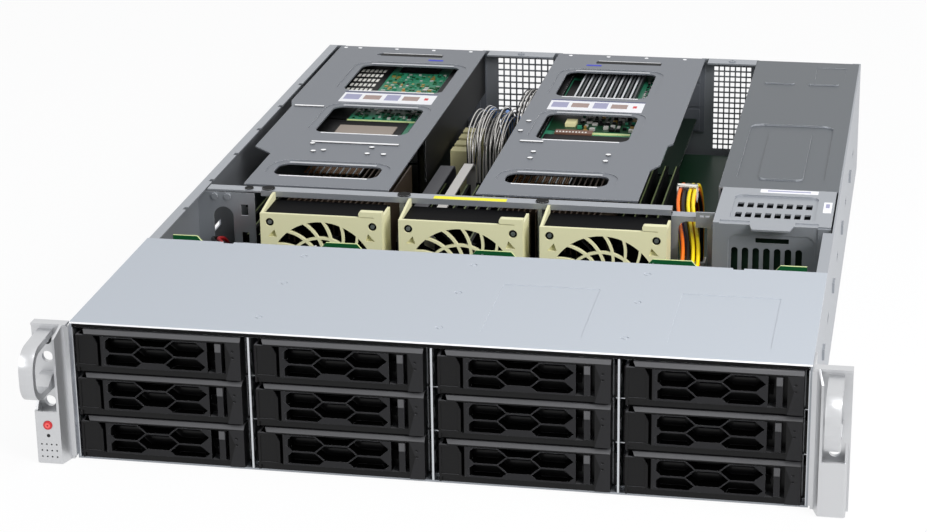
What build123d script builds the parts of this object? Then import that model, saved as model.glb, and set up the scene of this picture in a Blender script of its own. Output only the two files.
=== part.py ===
"""Two-unit rack server with twelve front drive carriers, three fan modules and two lift-out risers.

Millimetres. +X is to the right seen from the front, +Y runs to the rear, +Z is up. The origin is
the centre of the chassis' bottom face. The lid over the rear half is off, as on an open machine.
"""
from build123d import *
import math
import os

# Sheet metal, boards and clearances
sheet = 1.2
cover_sheet = 1.0
board = 1.6
slide_gap = 0.2
part_gap = 0.3
overrun = 1.0

# Drives and their trays
drive_width = 101.6
drive_height = 26.1
drive_depth = 147.0
drive_side_gap = 0.3
tray_wall = 1.5
tray_side_gap = 1.425
tray_height = 20.0
tray_front_gap = 1.0
tray_floor = 0.8
tray_strap_depth = 16.0
connector_depth = 7.4
connector_width = 42.0
connector_height = 6.0

# Drive bays
columns = 4
rows = 3
divider_thickness = 1.2
liner_thickness = 0.5
ledge_width = 2.0
ledge_thickness = 0.6
row_gap = 0.7
base_gap = 0.8
top_gap = 1.6
finger_height = 7.0
finger_reach = 1.0
finger_depth = 3.0

# Bezel of a carrier, with its lever and its release button
bezel_gap = 4.3
bezel_proud = 3.0
bezel_depth = 11.0
bezel_rise = 0.3
bezel_panel = 1.6
bezel_strip = 2.9
strip_chamfer = 2.1
strip_left = 6.4
chin_height = 3.5
chin_recess = 1.2
plate_width = 13.2
plate_thickness = 1.8
plate_frame = 1.4
plate_recess = 0.5
plate_toe_share = 0.6
plate_heel_share = 1.3
plate_shoulder_share = 0.7
plate_crown_share = 0.8
led_strip = 9.1
led_radius = 0.9
led_pitch = 4.0
led_depth = 0.8
led_drop = 5.0
recess_width = 11.0
lever_thickness = 6.0
lever_gap = 0.35
hinge_pin_radius = 1.2
hinge_clearance = 0.06
cell_width = 25.8
cell_flat = 13.8
cell_height = 10.4
cell_web = 1.0
cell_taper = 12.0
rib_length = 12.0
rib_height = 1.4
nose_length = 3.0
nose_height = 6.0
nose_thickness = 1.5
button_width = 3.6
button_height = 18.5
button_depth = 5.0
button_setback = 1.0
button_cap = 5.4
button_cap_rise = 0.6
button_travel = 1.8
stem_width = 1.8
stem_height = 9.0

# Chassis
chassis_depth = 648.0
lip_width = 7.0
lip_notch = 5.0
lip_notch_depth = 2.5
lip_notch_pitch = 62.0
hook_length = 10.0
hook_height = 7.0
hook_reach = 1.4
hook_pitch = 118.0
wall_slot_length = 16.0
wall_slot_height = 4.0
standoff_height = 4.8
standoff_radius = 3.0

# Front cover
cover_depth = 152.0
cover_fold = 2.2
dimple_radius = 2.4
dimple_depth = 0.4
rivet_radius = 1.5
dimple_shares = (0.162, 0.55, 0.875)
label_recess = 0.35
label_width = 59.5
label_depth = 81.5
label_front_share = 0.137
notch_width = 7.0
notch_depth = 2.6

# Backplane
backplane_front = 164.0
backplane_side_gap = 12.0
backplane_drop = 5.0
tab_height = 4.6
tab_slope = 4.0
tab_shares = ((0.0, 0.04), (0.25, 0.30), (0.49, 0.545), (0.765, 0.825), (0.96, 1.0))
vent_height = 6.0
vent_width = 64.0
socket_width = 24.0
socket_height = 9.0
socket_depth = 8.0
socket_shares = (0.06, 0.35, 0.79, 0.94)
socket_drops = (13.5, 13.5, 43.0, 13.5)

# Rack ears
ear_width = 22.8
rack_hole_inset = 8.75
rack_hole_pitch = 28.575
rack_hole_height = 37.65
rack_hole_radius = 3.4
ear_thickness = 3.0
ear_proud = 12.0
ear_rise = 0.6
ear_flange_depth = 26.0
ear_flange_gap = 2.0
ear_block_height = 33.5
ear_wall = 1.5
ear_corner = 1.2
ear_cap = 1.5
ear_cap_front = 1.0
ear_cap_rear = 3.0
ear_inset = 1.2
ear_slope_width = 5.8
ear_slope_run = 3.5
ear_wall_top = 80.0
ear_rim = 11.0
handle_inset = 4.6
handle_width = 8.8
handle_reach = 40.0
handle_top = 84.5
handle_drop = 2.5
handle_low = 48.0
handle_lift = 1.2
handle_bend = 14.0
handle_thickness = 4.0
handle_web = 9.0
handle_web_reach = 18.0
pocket_depth = 3.2
panel_board = 1.2
power_height = 25.5
power_radius = 2.7
power_proud = 0.7
power_travel = 1.2
reset_height = 18.7
reset_radius = 1.0
reset_travel = 0.8
control_inset = 9.3
button_clearance = 0.15
button_flange = 0.9
button_flange_depth = 1.2
icon_radius = 0.55
icon_columns = 4
icon_rows = 3
icon_pitch_x = 3.1
icon_pitch_z = 4.0
icon_top = 13.0

# Fan modules
fan_count = 3
fan_spacing = 15.2
fans_middle = -26.6
fan_front = 226.0
fan_size = 80.0
fan_depth = 31.5
fan_rise = 0.3
fan_rim = 2.0
fan_hub = 17.0
fan_hub_depth = 22.0
fan_shaft = 2.0
fan_shaft_clearance = 0.05
fan_base_depth = 4.0
fan_strut = 5.0
fan_blades = 7
fan_blade_thickness = 1.6
fan_blade_chord = 20.0
fan_blade_pitch = 38.0
fan_tip_gap = 1.5
guard_thickness = 2.5
guard_hub = 13.0
guard_ring = 25.5
guard_rib = 1.7
guard_ribs = 18
guard_rib_bend = 30.0
guard_border = 3.0
guard_screw_radius = 2.9
guard_screw_inset = 4.6
guard_corner_shares = ((0.808, 0.758), (0.765, 0.625), (0.928, 0.625))
holder_wall = 1.8
holder_depth = 26.0
holder_head = 1.5
gusset_width = 11.0
gusset_rise = 3.6
finger_tab_width = 16.0
finger_tab_thickness = 5.0
finger_tab_height = 4.0
finger_tab_gap = 0.5
finger_tab_corner = 1.4
finger_post = 5.5
fan_lift_gap = 0.5

# Fan wall
bar_gap = 1.5
bar_depth = 9.5
bar_lip = 4.0
bar_left = -172.6
bar_right = 109.6
post_width = 3.0
bracket_gap = 0.4
arch_left = -206.5
arch_right = -192.4
arch_top = 74.5
bracket_left_end = -177.0
square_hole = 5.0
square_hole_height = 8.0
square_hole_x = -184.3
square_low = 52.6
square_high = 72.6
stud_radius = 2.2
stud_rise = 1.2
stud_inner = -196.0
stud_outer = -205.3
stud_height = 82.0
pillar_x = -181.7
pillar_radius = 3.0
pillar_height = 12.0
grommet_radius = 4.5
grommet_rise = 0.8
gate_left = 109.8
gate_right = 138.6
gate_column = 4.6
gate_top = 79.5
gate_corner = 6.0
gate_sill = 8.0
flap_width = 12.5
flap_height = 11.0
flap_slot = 2.6
flap_slot_height = 1.2
flap_slot_drop = 3.6
flap_slot_shares = (0.22, 0.52)

# Main board
main_left = -212.0
main_right = 134.0
main_front = 272.0
main_rear = 640.0
heatsink_width = 70.0
heatsink_depth = 92.0
heatsink_height = 56.0
heatsink_base = 5.0
heatsink_front = 300.0
heatsink_left_x = -130.0
heatsink_right_x = 22.0
heatsink_fins = 18
fin_thickness = 1.0
processor_socket = 4.0
processor_frame = 8.0
memory_length = 133.4
memory_height = 31.2
memory_thickness = 3.2
memory_pitch = 8.2
memory_front = 286.0
memory_right_front = 352.0
memory_slot_height = 7.0
memory_slot_width = 6.2
memory_slot_extra = 5.0
memory_latch_height = 14.0
memory_latch_length = 4.6
lead_socket_x = -83.0
lead_socket_width = 16.0
lead_socket_depth = 11.0
lead_socket_height = 46.0
lead_socket_front = 476.0
lead_socket_pitch = 17.0
lead_sockets = 4
lane_socket_x = -58.0
lane_socket_width = 26.0
lane_socket_depth = 6.0
lane_socket_height = 50.0
lane_socket_front = 556.0

# Risers
riser_lift_gap = 0.3
riser_board_front = 430.0
riser_board_rear = 622.0
riser_slot_height = 8.0
riser_slot_width = 8.0
riser_skirt = 34.0
riser_skirt_front = 400.0
riser_skirt_rear = 640.0
left_riser_left = -208.0
left_riser_width = 122.0
left_riser_front = 275.0
left_riser_board = -98.0
right_riser_left = -25.5
right_riser_width = 119.7
right_riser_front = 277.0
right_riser_board = -15.0
window_corner = 9.0
window_rim = 0.7
window_rim_width = 1.6
window_border = 6.0
window_step = 0.5
ridge_rise = 0.7
bump_radius = 1.9
bump_rise = 0.8
grip_width = 52.0
grip_depth = 5.0
grip_rear_gap = 20.0
left_outline_shares = ((0.16, 0.0), (1.0, 0.0), (1.0, 1.0), (0.0, 1.0), (0.0, 0.556), (0.033, 0.515),
                       (0.033, 0.233), (0.16, 0.192))
right_outline_shares = ((0.0, 0.0), (0.927, 0.0), (0.927, 0.188), (0.973, 0.221), (0.973, 0.347),
                        (1.0, 0.362), (1.0, 1.0), (0.0, 1.0))
left_window_shares = ((0.254, 0.906, 0.653, 0.862), (0.299, 0.873, 0.347, 0.537),
                      (0.266, 0.881, 0.065, 0.141))
right_window_shares = ((0.127, 0.721, 0.668, 0.866), (0.152, 0.725, 0.36, 0.545),
                       (0.113, 0.714, 0.074, 0.142))
left_ridge_shares = ((0.344, 0.877, 0.272, 0.28), (0.05, 0.238, 0.514, 0.522))
right_ridge_shares = ((0.079, 0.221, 0.331, 0.339),)
left_bump_shares = ((0.361, 0.263), (0.402, 0.214), (0.459, 0.222), (0.73, 0.252), (0.73, 0.211),
                    (0.828, 0.211))
right_bump_shares = ((0.063, 0.471), (0.046, 0.403), (0.196, 0.267), (0.196, 0.226), (0.647, 0.267),
                     (0.647, 0.226))

# Cards in the risers and the brackets that close their slots
bracket_height = 18.4
bracket_length = 112.0
bracket_thickness = 0.9
bracket_pitch = 20.32
bracket_count = 3
bracket_hole = 3.0
bracket_hole_pitch = 4.4
bracket_hole_columns = 16
bracket_hole_rows = 2
card_lengths = (150.0, 242.0)
card_socket_height = 9.0
card_socket_width = 7.0
card_edge_gap = 6.0
card_sink_inset = 22.0
card_sink_height = 11.0
card_sink_fins = 13
card_slots = (0, 2)

# Power supplies, their cage and the guard in front of it
psu_left = 138.0
psu_width = 73.5
psu_height = 40.0
psu_depth = 265.0
psu_wall_gap = 0.6
psu_shelf = 1.0
psu_bore = 17.5
psu_grille_ring = 1.6
psu_grille_rings = 3
psu_inlet_width = 24.0
psu_inlet_height = 20.0
psu_inlet_depth = 12.0
psu_handle_reach = 22.0
psu_handle_bar = 3.0
psu_handle_width = 26.0
psu_latch_length = 14.0
psu_latch_thickness = 1.6
psu_latch_height = 14.0
psu_latch_pin = 1.2
psu_latch_arm = 11.0
psu_face = 2.0
cage_front = 316.0
guard_front = 241.0
guard_lip = 11.0
guard_lip_left = 165.4
guard_lip_right = 190.0
guard_holes = 8
guard_hole_width = 4.3
guard_hole_depth = 10.0
guard_hole_pitch = 6.5
guard_hole_first = 154.0
guard_hole_near = 262.8
guard_hole_far = 283.5
guard_slots = 7
guard_slot_width = 4.4
guard_slot_first = 153.7
guard_slot_pitch = 7.0
guard_slot_top = 70.2
guard_slot_bottom = 24.0
guard_wide_slot_left = 167.2
guard_wide_slot_right = 189.1
guard_wide_slot_low = 73.8
guard_wide_slot_high = 77.2
guard_dip_left = 149.0
guard_dip_right = 205.0
guard_dip_front = 250.0
guard_dip_rear = 302.0
guard_dip_corner = 5.0
edge_dip_depth = 6.0
edge_dip_step = 0.6
edge_dip_inset = 4.0
surround_left = 149.6
surround_right = 206.0
surround_low = 18.0
surround_high = 79.6
surround_corner = 6.0
surround_step = 0.6
tab_width = 8.3
tab_length = 19.0
tab_hole = 3.0
tab_hole_share = 0.72
panel_step = 1.2
emboss = 0.9
emboss_left = 146.0
emboss_right = 206.5
emboss_front = 333.0
emboss_rear = 470.0
emboss_corner = 9.0
emboss_border = 15.0
emboss_inner_front = 339.0
emboss_inner_rear = 450.0
emboss_inner_corner = 5.0
bead_width = 23.0
bead_depth = 4.0
bead_rear = 580.0
bead_left = 147.0
bead_pitch = 34.0
dip_left = 185.0
dip_right = 208.0
dip_front = 596.0
dip_rear = 632.0
board_gap = 8.0

# Rear panel
mesh_pitch = 5.2
mesh_hole = 4.0
fine_pitch = 4.4
fine_hole = 3.3
mesh_left = -76.0
mesh_columns = 9
mesh_rows = 12
mesh_low = 20.0
fine_left = 101.5
fine_columns = 7
fine_rows = 16
fine_low = 11.5
rear_flange = 13.0
notch_inset = 3.0
port_depth = 18.0
port_gap = 0.3
port_first = -202.0
port_spacing = 7.0
port_sizes = ((14.0, 15.0), (14.0, 15.0), (16.0, 13.5), (16.0, 13.5), (16.0, 13.5), (31.0, 12.5),
              (31.0, 12.5), (14.0, 15.0))
screw_radius = 2.7
screw_height = 0.8
screw_slot = 0.9
screw_slot_depth = 0.4

# Cables inside, which connectors hold at both ends
wire_thickness = 2.6
bend_share = 0.45
power_wire_columns = 4
power_wire_rows = 3
power_wire_step = 3.4
power_wire_drop = 3.2
signal_wire_step = 4.0
ribbon_thickness = 1.2
ribbon_plug_height = 9.0
ribbon_plug_depth = 5.0
ribbon_plug_edge = 1.0
plug_depth = 12.0
plug_height = 9.0
plug_edge = 1.6
ribbon_routes = ((-81.0, 10.0, 276.6, 437.0, 56.0, 9.0), (-62.0, 7.0, 276.6, 432.0, 60.0, 9.0),
                 (-66.0, 26.0, 455.0, 540.0, 80.0, 38.0), (-38.0, 11.0, 500.0, 590.0, 82.0, 40.0))

# Worked-out sizes
bay_pitch = drive_width + 2 * (drive_side_gap + tray_wall + tray_side_gap) + divider_thickness
chassis_width = columns * bay_pitch
row_pitch = drive_height + tray_floor + slide_gap + row_gap
chassis_height = sheet + base_gap + rows * row_pitch + top_gap + cover_sheet
half_width = chassis_width / 2
rack_width = chassis_width + 2 * ear_width
rack_hole_spacing = rack_width - 2 * rack_hole_inset
front = -chassis_depth / 2
rear = chassis_depth / 2
wall_top = chassis_height - cover_sheet
inner_half = half_width - sheet
deck_top = wall_top
deck_bottom = deck_top - sheet
bezel_width = bay_pitch - 2 * bezel_gap
bezel_height = row_pitch - bezel_rise - row_gap - 2 * part_gap
tray_width = drive_width + 2 * (drive_side_gap + tray_wall)
bezel_front = front - bezel_proud
bezel_rear = bezel_front + bezel_depth
panel_front = bezel_rear - bezel_panel - strip_chamfer
board_low = sheet + standoff_height
board_top = board_low + board
fan_pitch = fan_size + fan_spacing
fan_first = fans_middle - (fan_count - 1) / 2 * fan_pitch
fan_bore = fan_size / 2 - fan_rim
guard_open = fan_size / 2 - guard_border
fan_rear = fan_front + guard_thickness + fan_depth
bar_front = fan_rear + bar_gap
bracket_front = fan_rear + bracket_gap


def between(x0, x1, y0, y1, z0, z1):
    """A box between two corners, given in any order."""
    centre = Pos((x0 + x1) / 2, (y0 + y1) / 2, (z0 + z1) / 2)
    return centre * Box(abs(x1 - x0), abs(y1 - y0), abs(z1 - z0))


def plate_xy(points, z0, z1):
    """A flat outline in X and Y, from z0 up to z1."""
    outline = make_face(Polyline(*[(x, y, z0) for x, y in points], close=True))
    return extrude(outline, amount=z1 - z0, dir=(0, 0, 1))


def plate_xz(points, y0, y1):
    """A flat outline in X and Z, from y0 back to y1."""
    outline = make_face(Polyline(*[(x, y0, z) for x, z in points], close=True))
    return extrude(outline, amount=y1 - y0, dir=(0, 1, 0))


def plate_yz(points, x0, x1):
    """A flat outline in Y and Z, from x0 across to x1."""
    outline = make_face(Polyline(*[(x0, y, z) for y, z in points], close=True))
    return extrude(outline, amount=abs(x1 - x0), dir=(math.copysign(1, x1 - x0), 0, 0))


def rounded_xy(x0, x1, y0, y1, corner, z0, z1):
    """A rounded rectangle in X and Y, from z0 up to z1."""
    place = Pos((x0 + x1) / 2, (y0 + y1) / 2, z0)
    return extrude(place * RectangleRounded(x1 - x0, y1 - y0, corner), amount=z1 - z0)


def facing_rear(x, y, z):
    """A plane at a point, that faces +Y with +X to its right."""
    return Plane(origin=(x, y, z), x_dir=(1, 0, 0), z_dir=(0, 1, 0))


def rounded_xz(x0, x1, z0, z1, corner, y0, y1):
    """A rounded rectangle in X and Z, from y0 back to y1."""
    plane = facing_rear((x0 + x1) / 2, y0, (z0 + z1) / 2)
    return extrude(plane * RectangleRounded(x1 - x0, z1 - z0, corner), amount=y1 - y0)


def bar_y(x, z, radius, y0, y1):
    """A round bar along Y."""
    return extrude(facing_rear(x, y0, z) * Circle(radius), amount=y1 - y0)


def bar_z(x, y, radius, z0, z1):
    """A round bar along Z."""
    return extrude(Pos(x, y, z0) * Circle(radius), amount=z1 - z0)


def save(name, *shapes):
    """Writes one node from its solids."""
    solids = [solid for shape in shapes for solid in shape.solids()]
    export_step(Compound(solids), os.path.join("parts", name + ".step"))


def column_centre(column):
    return (column - (columns - 1) / 2) * bay_pitch


def row_base(row):
    return sheet + base_gap + row * row_pitch


# Chassis tub: floor, side walls with folded lips, rail hooks and board standoffs
def side_wall(side, lip_end):
    outer = side * half_width
    wall = between(outer, outer - side * sheet, front, rear, 0, wall_top)
    lip_start = front + cover_depth + part_gap
    wall += between(outer, outer - side * lip_width, lip_start, lip_end, wall_top - sheet, wall_top)
    notches = []
    y = lip_start + lip_notch_pitch
    while y < lip_end - lip_notch_pitch:
        inner_edge = outer - side * lip_width
        notches.append(between(inner_edge - side * overrun, inner_edge + side * lip_notch_depth,
                               y, y + lip_notch, wall_top - 2 * sheet, wall_top + overrun))
        y += lip_notch_pitch
    y = front + hook_pitch
    while y < rear - hook_pitch / 2:
        slot_y = y + hook_pitch / 2
        notches.append(between(outer - side * 2 * sheet, outer + side * overrun, slot_y,
                               slot_y + wall_slot_length, wall_top / 2, wall_top / 2 + wall_slot_height))
        wall += between(outer - side * sheet, outer + side * hook_reach, y, y + hook_length,
                        wall_top / 2, wall_top / 2 + hook_height)
        y += hook_pitch
    return wall - notches


def standoff_places():
    """Standoffs in a grid under the main board."""
    inset = 3 * standoff_radius
    xs = [main_left + inset, (main_left + main_right) / 2, main_right - inset]
    ys = [main_front + inset, (main_front + main_rear) / 2, main_rear - inset]
    return [(x, front + y) for x in xs for y in ys]


def chassis_tub():
    tub = between(-half_width, half_width, front, rear, 0, sheet)
    tub += [side_wall(-1, rear - sheet), side_wall(1, front + guard_front - guard_lip - part_gap)]
    tub += [bar_z(x, y, standoff_radius, sheet / 2, board_low) for x, y in standoff_places()]
    return tub


# Front cover over the drive bay
def front_cover():
    cover_rear = front + cover_depth
    low = chassis_height - cover_sheet
    cover = between(-half_width, half_width, front, cover_rear, low, chassis_height)
    fold_half = inner_half - part_gap
    for y in (front, cover_rear - cover_sheet):
        cover += between(-fold_half, fold_half, y, y + cover_sheet, low - cover_fold, low)
    places = [(index * bay_pitch, front + share * cover_depth)
              for index in (-1, 0, 1) for share in dimple_shares]
    cuts = [bar_z(x, y, dimple_radius, chassis_height - dimple_depth, chassis_height + overrun)
            for x, y in places]
    label_front = front + label_front_share * cover_depth
    for column in (2, 3):
        centre = column_centre(column)
        cuts.append(between(centre - label_width / 2, centre + label_width / 2, label_front,
                            label_front + label_depth, chassis_height - label_recess,
                            chassis_height + overrun))
    for column in (0, 3):
        centre = column_centre(column)
        cuts.append(between(centre - notch_width / 2, centre + notch_width / 2, cover_rear - notch_depth,
                            cover_rear + overrun, low - cover_fold - overrun, chassis_height + overrun))
    cover -= cuts
    rivets = [bar_z(x, y, rivet_radius, chassis_height - dimple_depth, chassis_height) for x, y in places]
    return cover + rivets


# Drive cage: dividers and side liners with a ledge under each tray
def ledges(face, side, y0, y1):
    """The ledges on one face of a divider, which stand out towards the given side."""
    return [between(face, face + side * ledge_width, y0, y1, row_base(row) - ledge_thickness, row_base(row))
            for row in range(rows)]


def spring_fingers(x, y):
    """Small contact fingers on a divider's front edge, one beside each carrier."""
    fingers = []
    for row in range(rows):
        middle = row_base(row) + row_pitch / 2
        for side in (-1, 1):
            root = x + side * divider_thickness / 2
            fingers.append(plate_xy([(root, y), (root + side * finger_reach, y + finger_depth / 2),
                                     (root, y + finger_depth)],
                                    middle - finger_height / 2, middle + finger_height / 2))
    return fingers


def drive_cage():
    pieces = []
    cage_rear_y = front + backplane_front - part_gap
    top = wall_top - cover_fold - part_gap
    for index in range(1, columns):
        x = index * bay_pitch - half_width
        divider = between(x - divider_thickness / 2, x + divider_thickness / 2, front, cage_rear_y, sheet,
                          top)
        for side in (-1, 1):
            divider += ledges(x + side * divider_thickness / 2, side, bezel_rear, cage_rear_y)
        divider += spring_fingers(x, front)
        pieces.append(divider)
    for side in (-1, 1):
        face = side * (inner_half - liner_thickness)
        liner = between(side * inner_half, face, front, cage_rear_y, sheet, top)
        liner += ledges(face, -side, bezel_rear, cage_rear_y)
        tray_edge = half_width - (bay_pitch - tray_width) / 2
        liner += between(side * inner_half, side * (tray_edge + part_gap), front, front + sheet, sheet, top)
        pieces.append(liner)
    return pieces


# Backplane behind the drives
def backplane():
    y0 = front + backplane_front
    y1 = y0 + board
    half = inner_half - backplane_side_gap
    top = wall_top - backplane_drop
    plate = between(-half, half, y0, y1, sheet, top)
    tab_top = top + tab_height
    for start, end in tab_shares:
        x0 = (2 * start - 1) * half
        x1 = (2 * end - 1) * half
        tab = [(x0 - tab_slope, top), (x0, tab_top), (x1, tab_top), (x1 + tab_slope, top)]
        plate += plate_xz(tab, y0, y1)
    plate &= between(-half, half, y0, y1, sheet, tab_top)
    vents = []
    sockets = []
    for column in range(columns):
        x = column_centre(column)
        for row in range(rows):
            middle = row_base(row) + row_pitch / 2
            vents.append(between(x - vent_width / 2, x + vent_width / 2, y0 - overrun, y1 + overrun,
                                 middle + vent_height / 2, middle + vent_height * 3 / 2))
            sockets.append(between(x - connector_width / 2, x + connector_width / 2, y0 - connector_depth, y0,
                                   middle - connector_height, middle))
    plate -= vents
    for share, drop in zip(socket_shares, socket_drops):
        x = (2 * share - 1) * half
        sockets.append(between(x - socket_width / 2, x + socket_width / 2, y1, y1 + socket_depth,
                               top - drop - socket_height / 2, top - drop + socket_height / 2))
    return [plate] + sockets


# Drive carrier: bezel frame, tray and drive
def cell_points(width, flat, height):
    """A hexagon with flat top and bottom."""
    return [(-width / 2, 0), (-flat / 2, height / 2), (flat / 2, height / 2),
            (width / 2, 0), (flat / 2, -height / 2), (-flat / 2, -height / 2)]


def cell_centres(lever_left, top):
    """Centres of the honeycomb's cells, from the bezel's left edge and bottom edge."""
    pitch = (cell_width + cell_flat) / 2
    first = lever_left + cell_width / 2 + cell_web
    middle = top - cell_height / 2
    low = middle - cell_height
    return [(first, middle), (first + 2 * pitch, middle), (first + pitch, middle - cell_height / 2),
            (first, low), (first + 2 * pitch, low), (first + pitch, middle + cell_height / 2)]


lever_left = plate_width + lever_gap
lever_right = bezel_width - led_strip - recess_width
lever_low = chin_height + lever_gap
lever_top = bezel_height - bezel_strip - lever_gap
hinge_x = lever_left + lever_thickness / 2
hinge_y = bezel_front + lever_thickness / 2
button_x = bezel_width - led_strip - recess_width / 2 + button_width / 4
button_low = lever_low
button_front = bezel_front + button_setback
stem_z = button_low + button_height / 2


def bezel():
    """The fixed front of a carrier, with its left bottom corner at x 0 and z 0."""
    frame = between(0, bezel_width, bezel_rear - bezel_panel, bezel_rear, 0, bezel_height)
    strip_low = bezel_height - bezel_strip
    strip = plate_yz([(bezel_front, strip_low), (bezel_front, bezel_height - strip_chamfer),
                      (bezel_front + strip_chamfer, bezel_height), (bezel_rear, bezel_height),
                      (bezel_rear, strip_low)], 0, bezel_width)
    strip -= plate_xz([(-overrun, strip_low - overrun), (strip_left, strip_low - overrun),
                       (strip_left - bezel_strip, bezel_height + overrun),
                       (-overrun, bezel_height + overrun)], bezel_front - overrun, bezel_rear - bezel_panel)
    chin = between(0, bezel_width, bezel_front + chin_recess, bezel_rear, 0, chin_height)
    left = plate_xz([(0, chin_height), (plate_width * plate_toe_share, chin_height / 2),
                     (plate_width, chin_height * plate_heel_share),
                     (plate_width, bezel_height * plate_shoulder_share),
                     (plate_width * plate_crown_share, strip_low), (0, strip_low)],
                    bezel_front, bezel_front + plate_thickness)
    left -= between(plate_frame, plate_width - plate_frame, bezel_front - overrun, bezel_front + plate_recess,
                    chin_height + plate_frame, strip_low - plate_frame)
    side = between(0, plate_frame, bezel_front, bezel_rear, 0, strip_low)
    led_left = bezel_width - led_strip
    strip_right = between(led_left, bezel_width, bezel_front, bezel_rear, 0, strip_low)
    lights = [bar_y(led_left + led_strip / 2, strip_low - led_drop - led_pitch * index, led_radius,
                    bezel_front - overrun, bezel_front + led_depth) for index in range(2)]
    strip_right -= lights
    ribs = []
    for x, z in cell_centres(lever_left, lever_top)[:3]:
        ribs.append(between(x - rib_length / 2, x + rib_length / 2, panel_front, bezel_rear - bezel_panel,
                            z - rib_height / 2, z + rib_height / 2))
    pin = bar_z(hinge_x, hinge_y, hinge_pin_radius, chin_height - overrun, strip_low + overrun)
    frame += [strip, chin, left, side, strip_right, pin] + ribs
    slot = between(button_x - stem_width / 2 - part_gap, button_x + stem_width / 2 + part_gap,
                   bezel_rear - bezel_panel - overrun, bezel_rear + overrun,
                   stem_z - stem_height / 2 - part_gap, stem_z + stem_height / 2 + part_gap)
    return frame - slot


def lever():
    """The honeycomb lever that swings out to draw the carrier from its bay."""
    rear_face = bezel_front + lever_thickness
    plate = between(hinge_x, lever_right, bezel_front, rear_face, lever_low, lever_top)
    barrel = bar_z(hinge_x, hinge_y, lever_thickness / 2, lever_low, lever_top)
    cells = []
    for x, z in cell_centres(lever_left, lever_top):
        points = cell_points(cell_width - cell_web, cell_flat, cell_height - cell_web)
        outline = make_face(Polyline(*[(x + u, bezel_front, z + w) for u, w in points], close=True))
        cells.append(extrude(outline, amount=lever_thickness + overrun, dir=(0, 1, 0), taper=cell_taper))
    floor_rail = between(hinge_x, lever_right, bezel_front, rear_face, lever_low, lever_low + cell_web)
    plate = plate - cells + floor_rail + barrel
    plate -= bar_z(hinge_x, hinge_y, hinge_pin_radius + hinge_clearance, lever_low - overrun,
                   lever_top + overrun)
    nose_low = stem_z - nose_height / 2
    plate += between(lever_right, lever_right + nose_length, rear_face - nose_thickness, rear_face,
                     nose_low, nose_low + nose_height)
    return plate


def release_button():
    """The upright button beside the lever, on a stem through the bezel's back panel."""
    back = button_front + button_depth
    x0 = button_x - button_width / 2
    x1 = button_x + button_width / 2
    top = button_low + button_height
    body = between(x0, x1, button_front, back, button_low, top)
    body += between(x0, x1, button_front - button_cap_rise, button_front, top - button_cap, top)
    stem_end = bezel_rear + tray_front_gap - button_travel - part_gap
    body += between(button_x - stem_width / 2, button_x + stem_width / 2, back, stem_end,
                    stem_z - stem_height / 2, stem_z + stem_height / 2)
    return body


def tray():
    """The tray that holds the drive, behind the bezel."""
    left = (bezel_width - tray_width) / 2
    right = left + tray_width
    low = slide_gap - bezel_rise
    end = bezel_rear + tray_front_gap + drive_depth
    body = between(left, left + tray_wall, bezel_rear, end, low, low + tray_height)
    body += between(right - tray_wall, right, bezel_rear, end, low, low + tray_height)
    for y in (bezel_rear, end - tray_strap_depth):
        body += between(left, right, y, y + tray_strap_depth, low, low + tray_floor)
    return body


def drive():
    """The drive itself, with a stepped front edge and a label recess on top."""
    left = (bezel_width - drive_width) / 2
    low = slide_gap - bezel_rise + tray_floor
    y0 = bezel_rear + tray_front_gap
    body = between(left, left + drive_width, y0, y0 + drive_depth, low, low + drive_height)
    body -= between(left + tray_strap_depth, left + drive_width - tray_strap_depth,
                    y0 + tray_strap_depth, y0 + drive_depth - tray_strap_depth,
                    low + drive_height - label_recess, low + drive_height + overrun)
    return body


# Rack ears with their pull handles
def ear_x(side, inward):
    """A place across an ear, measured inward from its outer edge."""
    return side * (rack_width / 2 - inward)


def ear_handle(side):
    """The closed pull handle: a rounded loop in depth and height, with a web at its lower root."""
    root = -ear_thickness / 2
    top = handle_top - handle_thickness
    low = handle_low + handle_thickness
    outer = FilletPolyline((root, handle_top), (-handle_reach, handle_top - handle_drop),
                           (-handle_reach, handle_low + handle_lift), (root, handle_low), radius=handle_bend)
    reach = handle_reach - handle_thickness
    inner = FilletPolyline((root, top), (-reach, top - handle_drop), (-reach, low + handle_lift), (root, low),
                           radius=handle_bend - handle_thickness)
    band = make_face([*outer.edges(), *inner.edges(), Line((root, handle_top), (root, top)),
                      Line((root, handle_low), (root, low))])
    left = min(ear_x(side, handle_inset), ear_x(side, handle_inset + handle_width))
    plane = Plane(origin=(left, front, 0), x_dir=(0, 1, 0), z_dir=(1, 0, 0))
    web = plate_yz([(front + root, low - overrun), (front - handle_web_reach, low - overrun),
                    (front - handle_web_reach, low), (front - handle_web_reach / 2, handle_low + handle_web),
                    (front + root, handle_low + handle_web)], left, left + handle_width)
    return extrude(plane * band, amount=handle_width) + web


def ear_side_wall(side, low, top):
    """The slanted wall along an ear's inner side, whose front edge falls back below the cap."""
    face_end = ear_width - ear_slope_width
    slope_end = face_end + ear_slope_run
    wall = plate_xy([(ear_x(side, face_end), front - ear_proud),
                     (ear_x(side, slope_end), front - ear_thickness / 2),
                     (ear_x(side, slope_end - ear_wall), front - ear_thickness / 2),
                     (ear_x(side, face_end - ear_wall), front - ear_proud)], low, top)
    before = front - ear_proud - overrun
    cap_edge = front - ear_cap_front - ear_thickness
    corner = [(before, ear_wall_top), (cap_edge, top), (cap_edge, top + overrun), (before, top + overrun)]
    return wall - plate_yz(corner, ear_x(side, ear_width), ear_x(side, 0))


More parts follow.
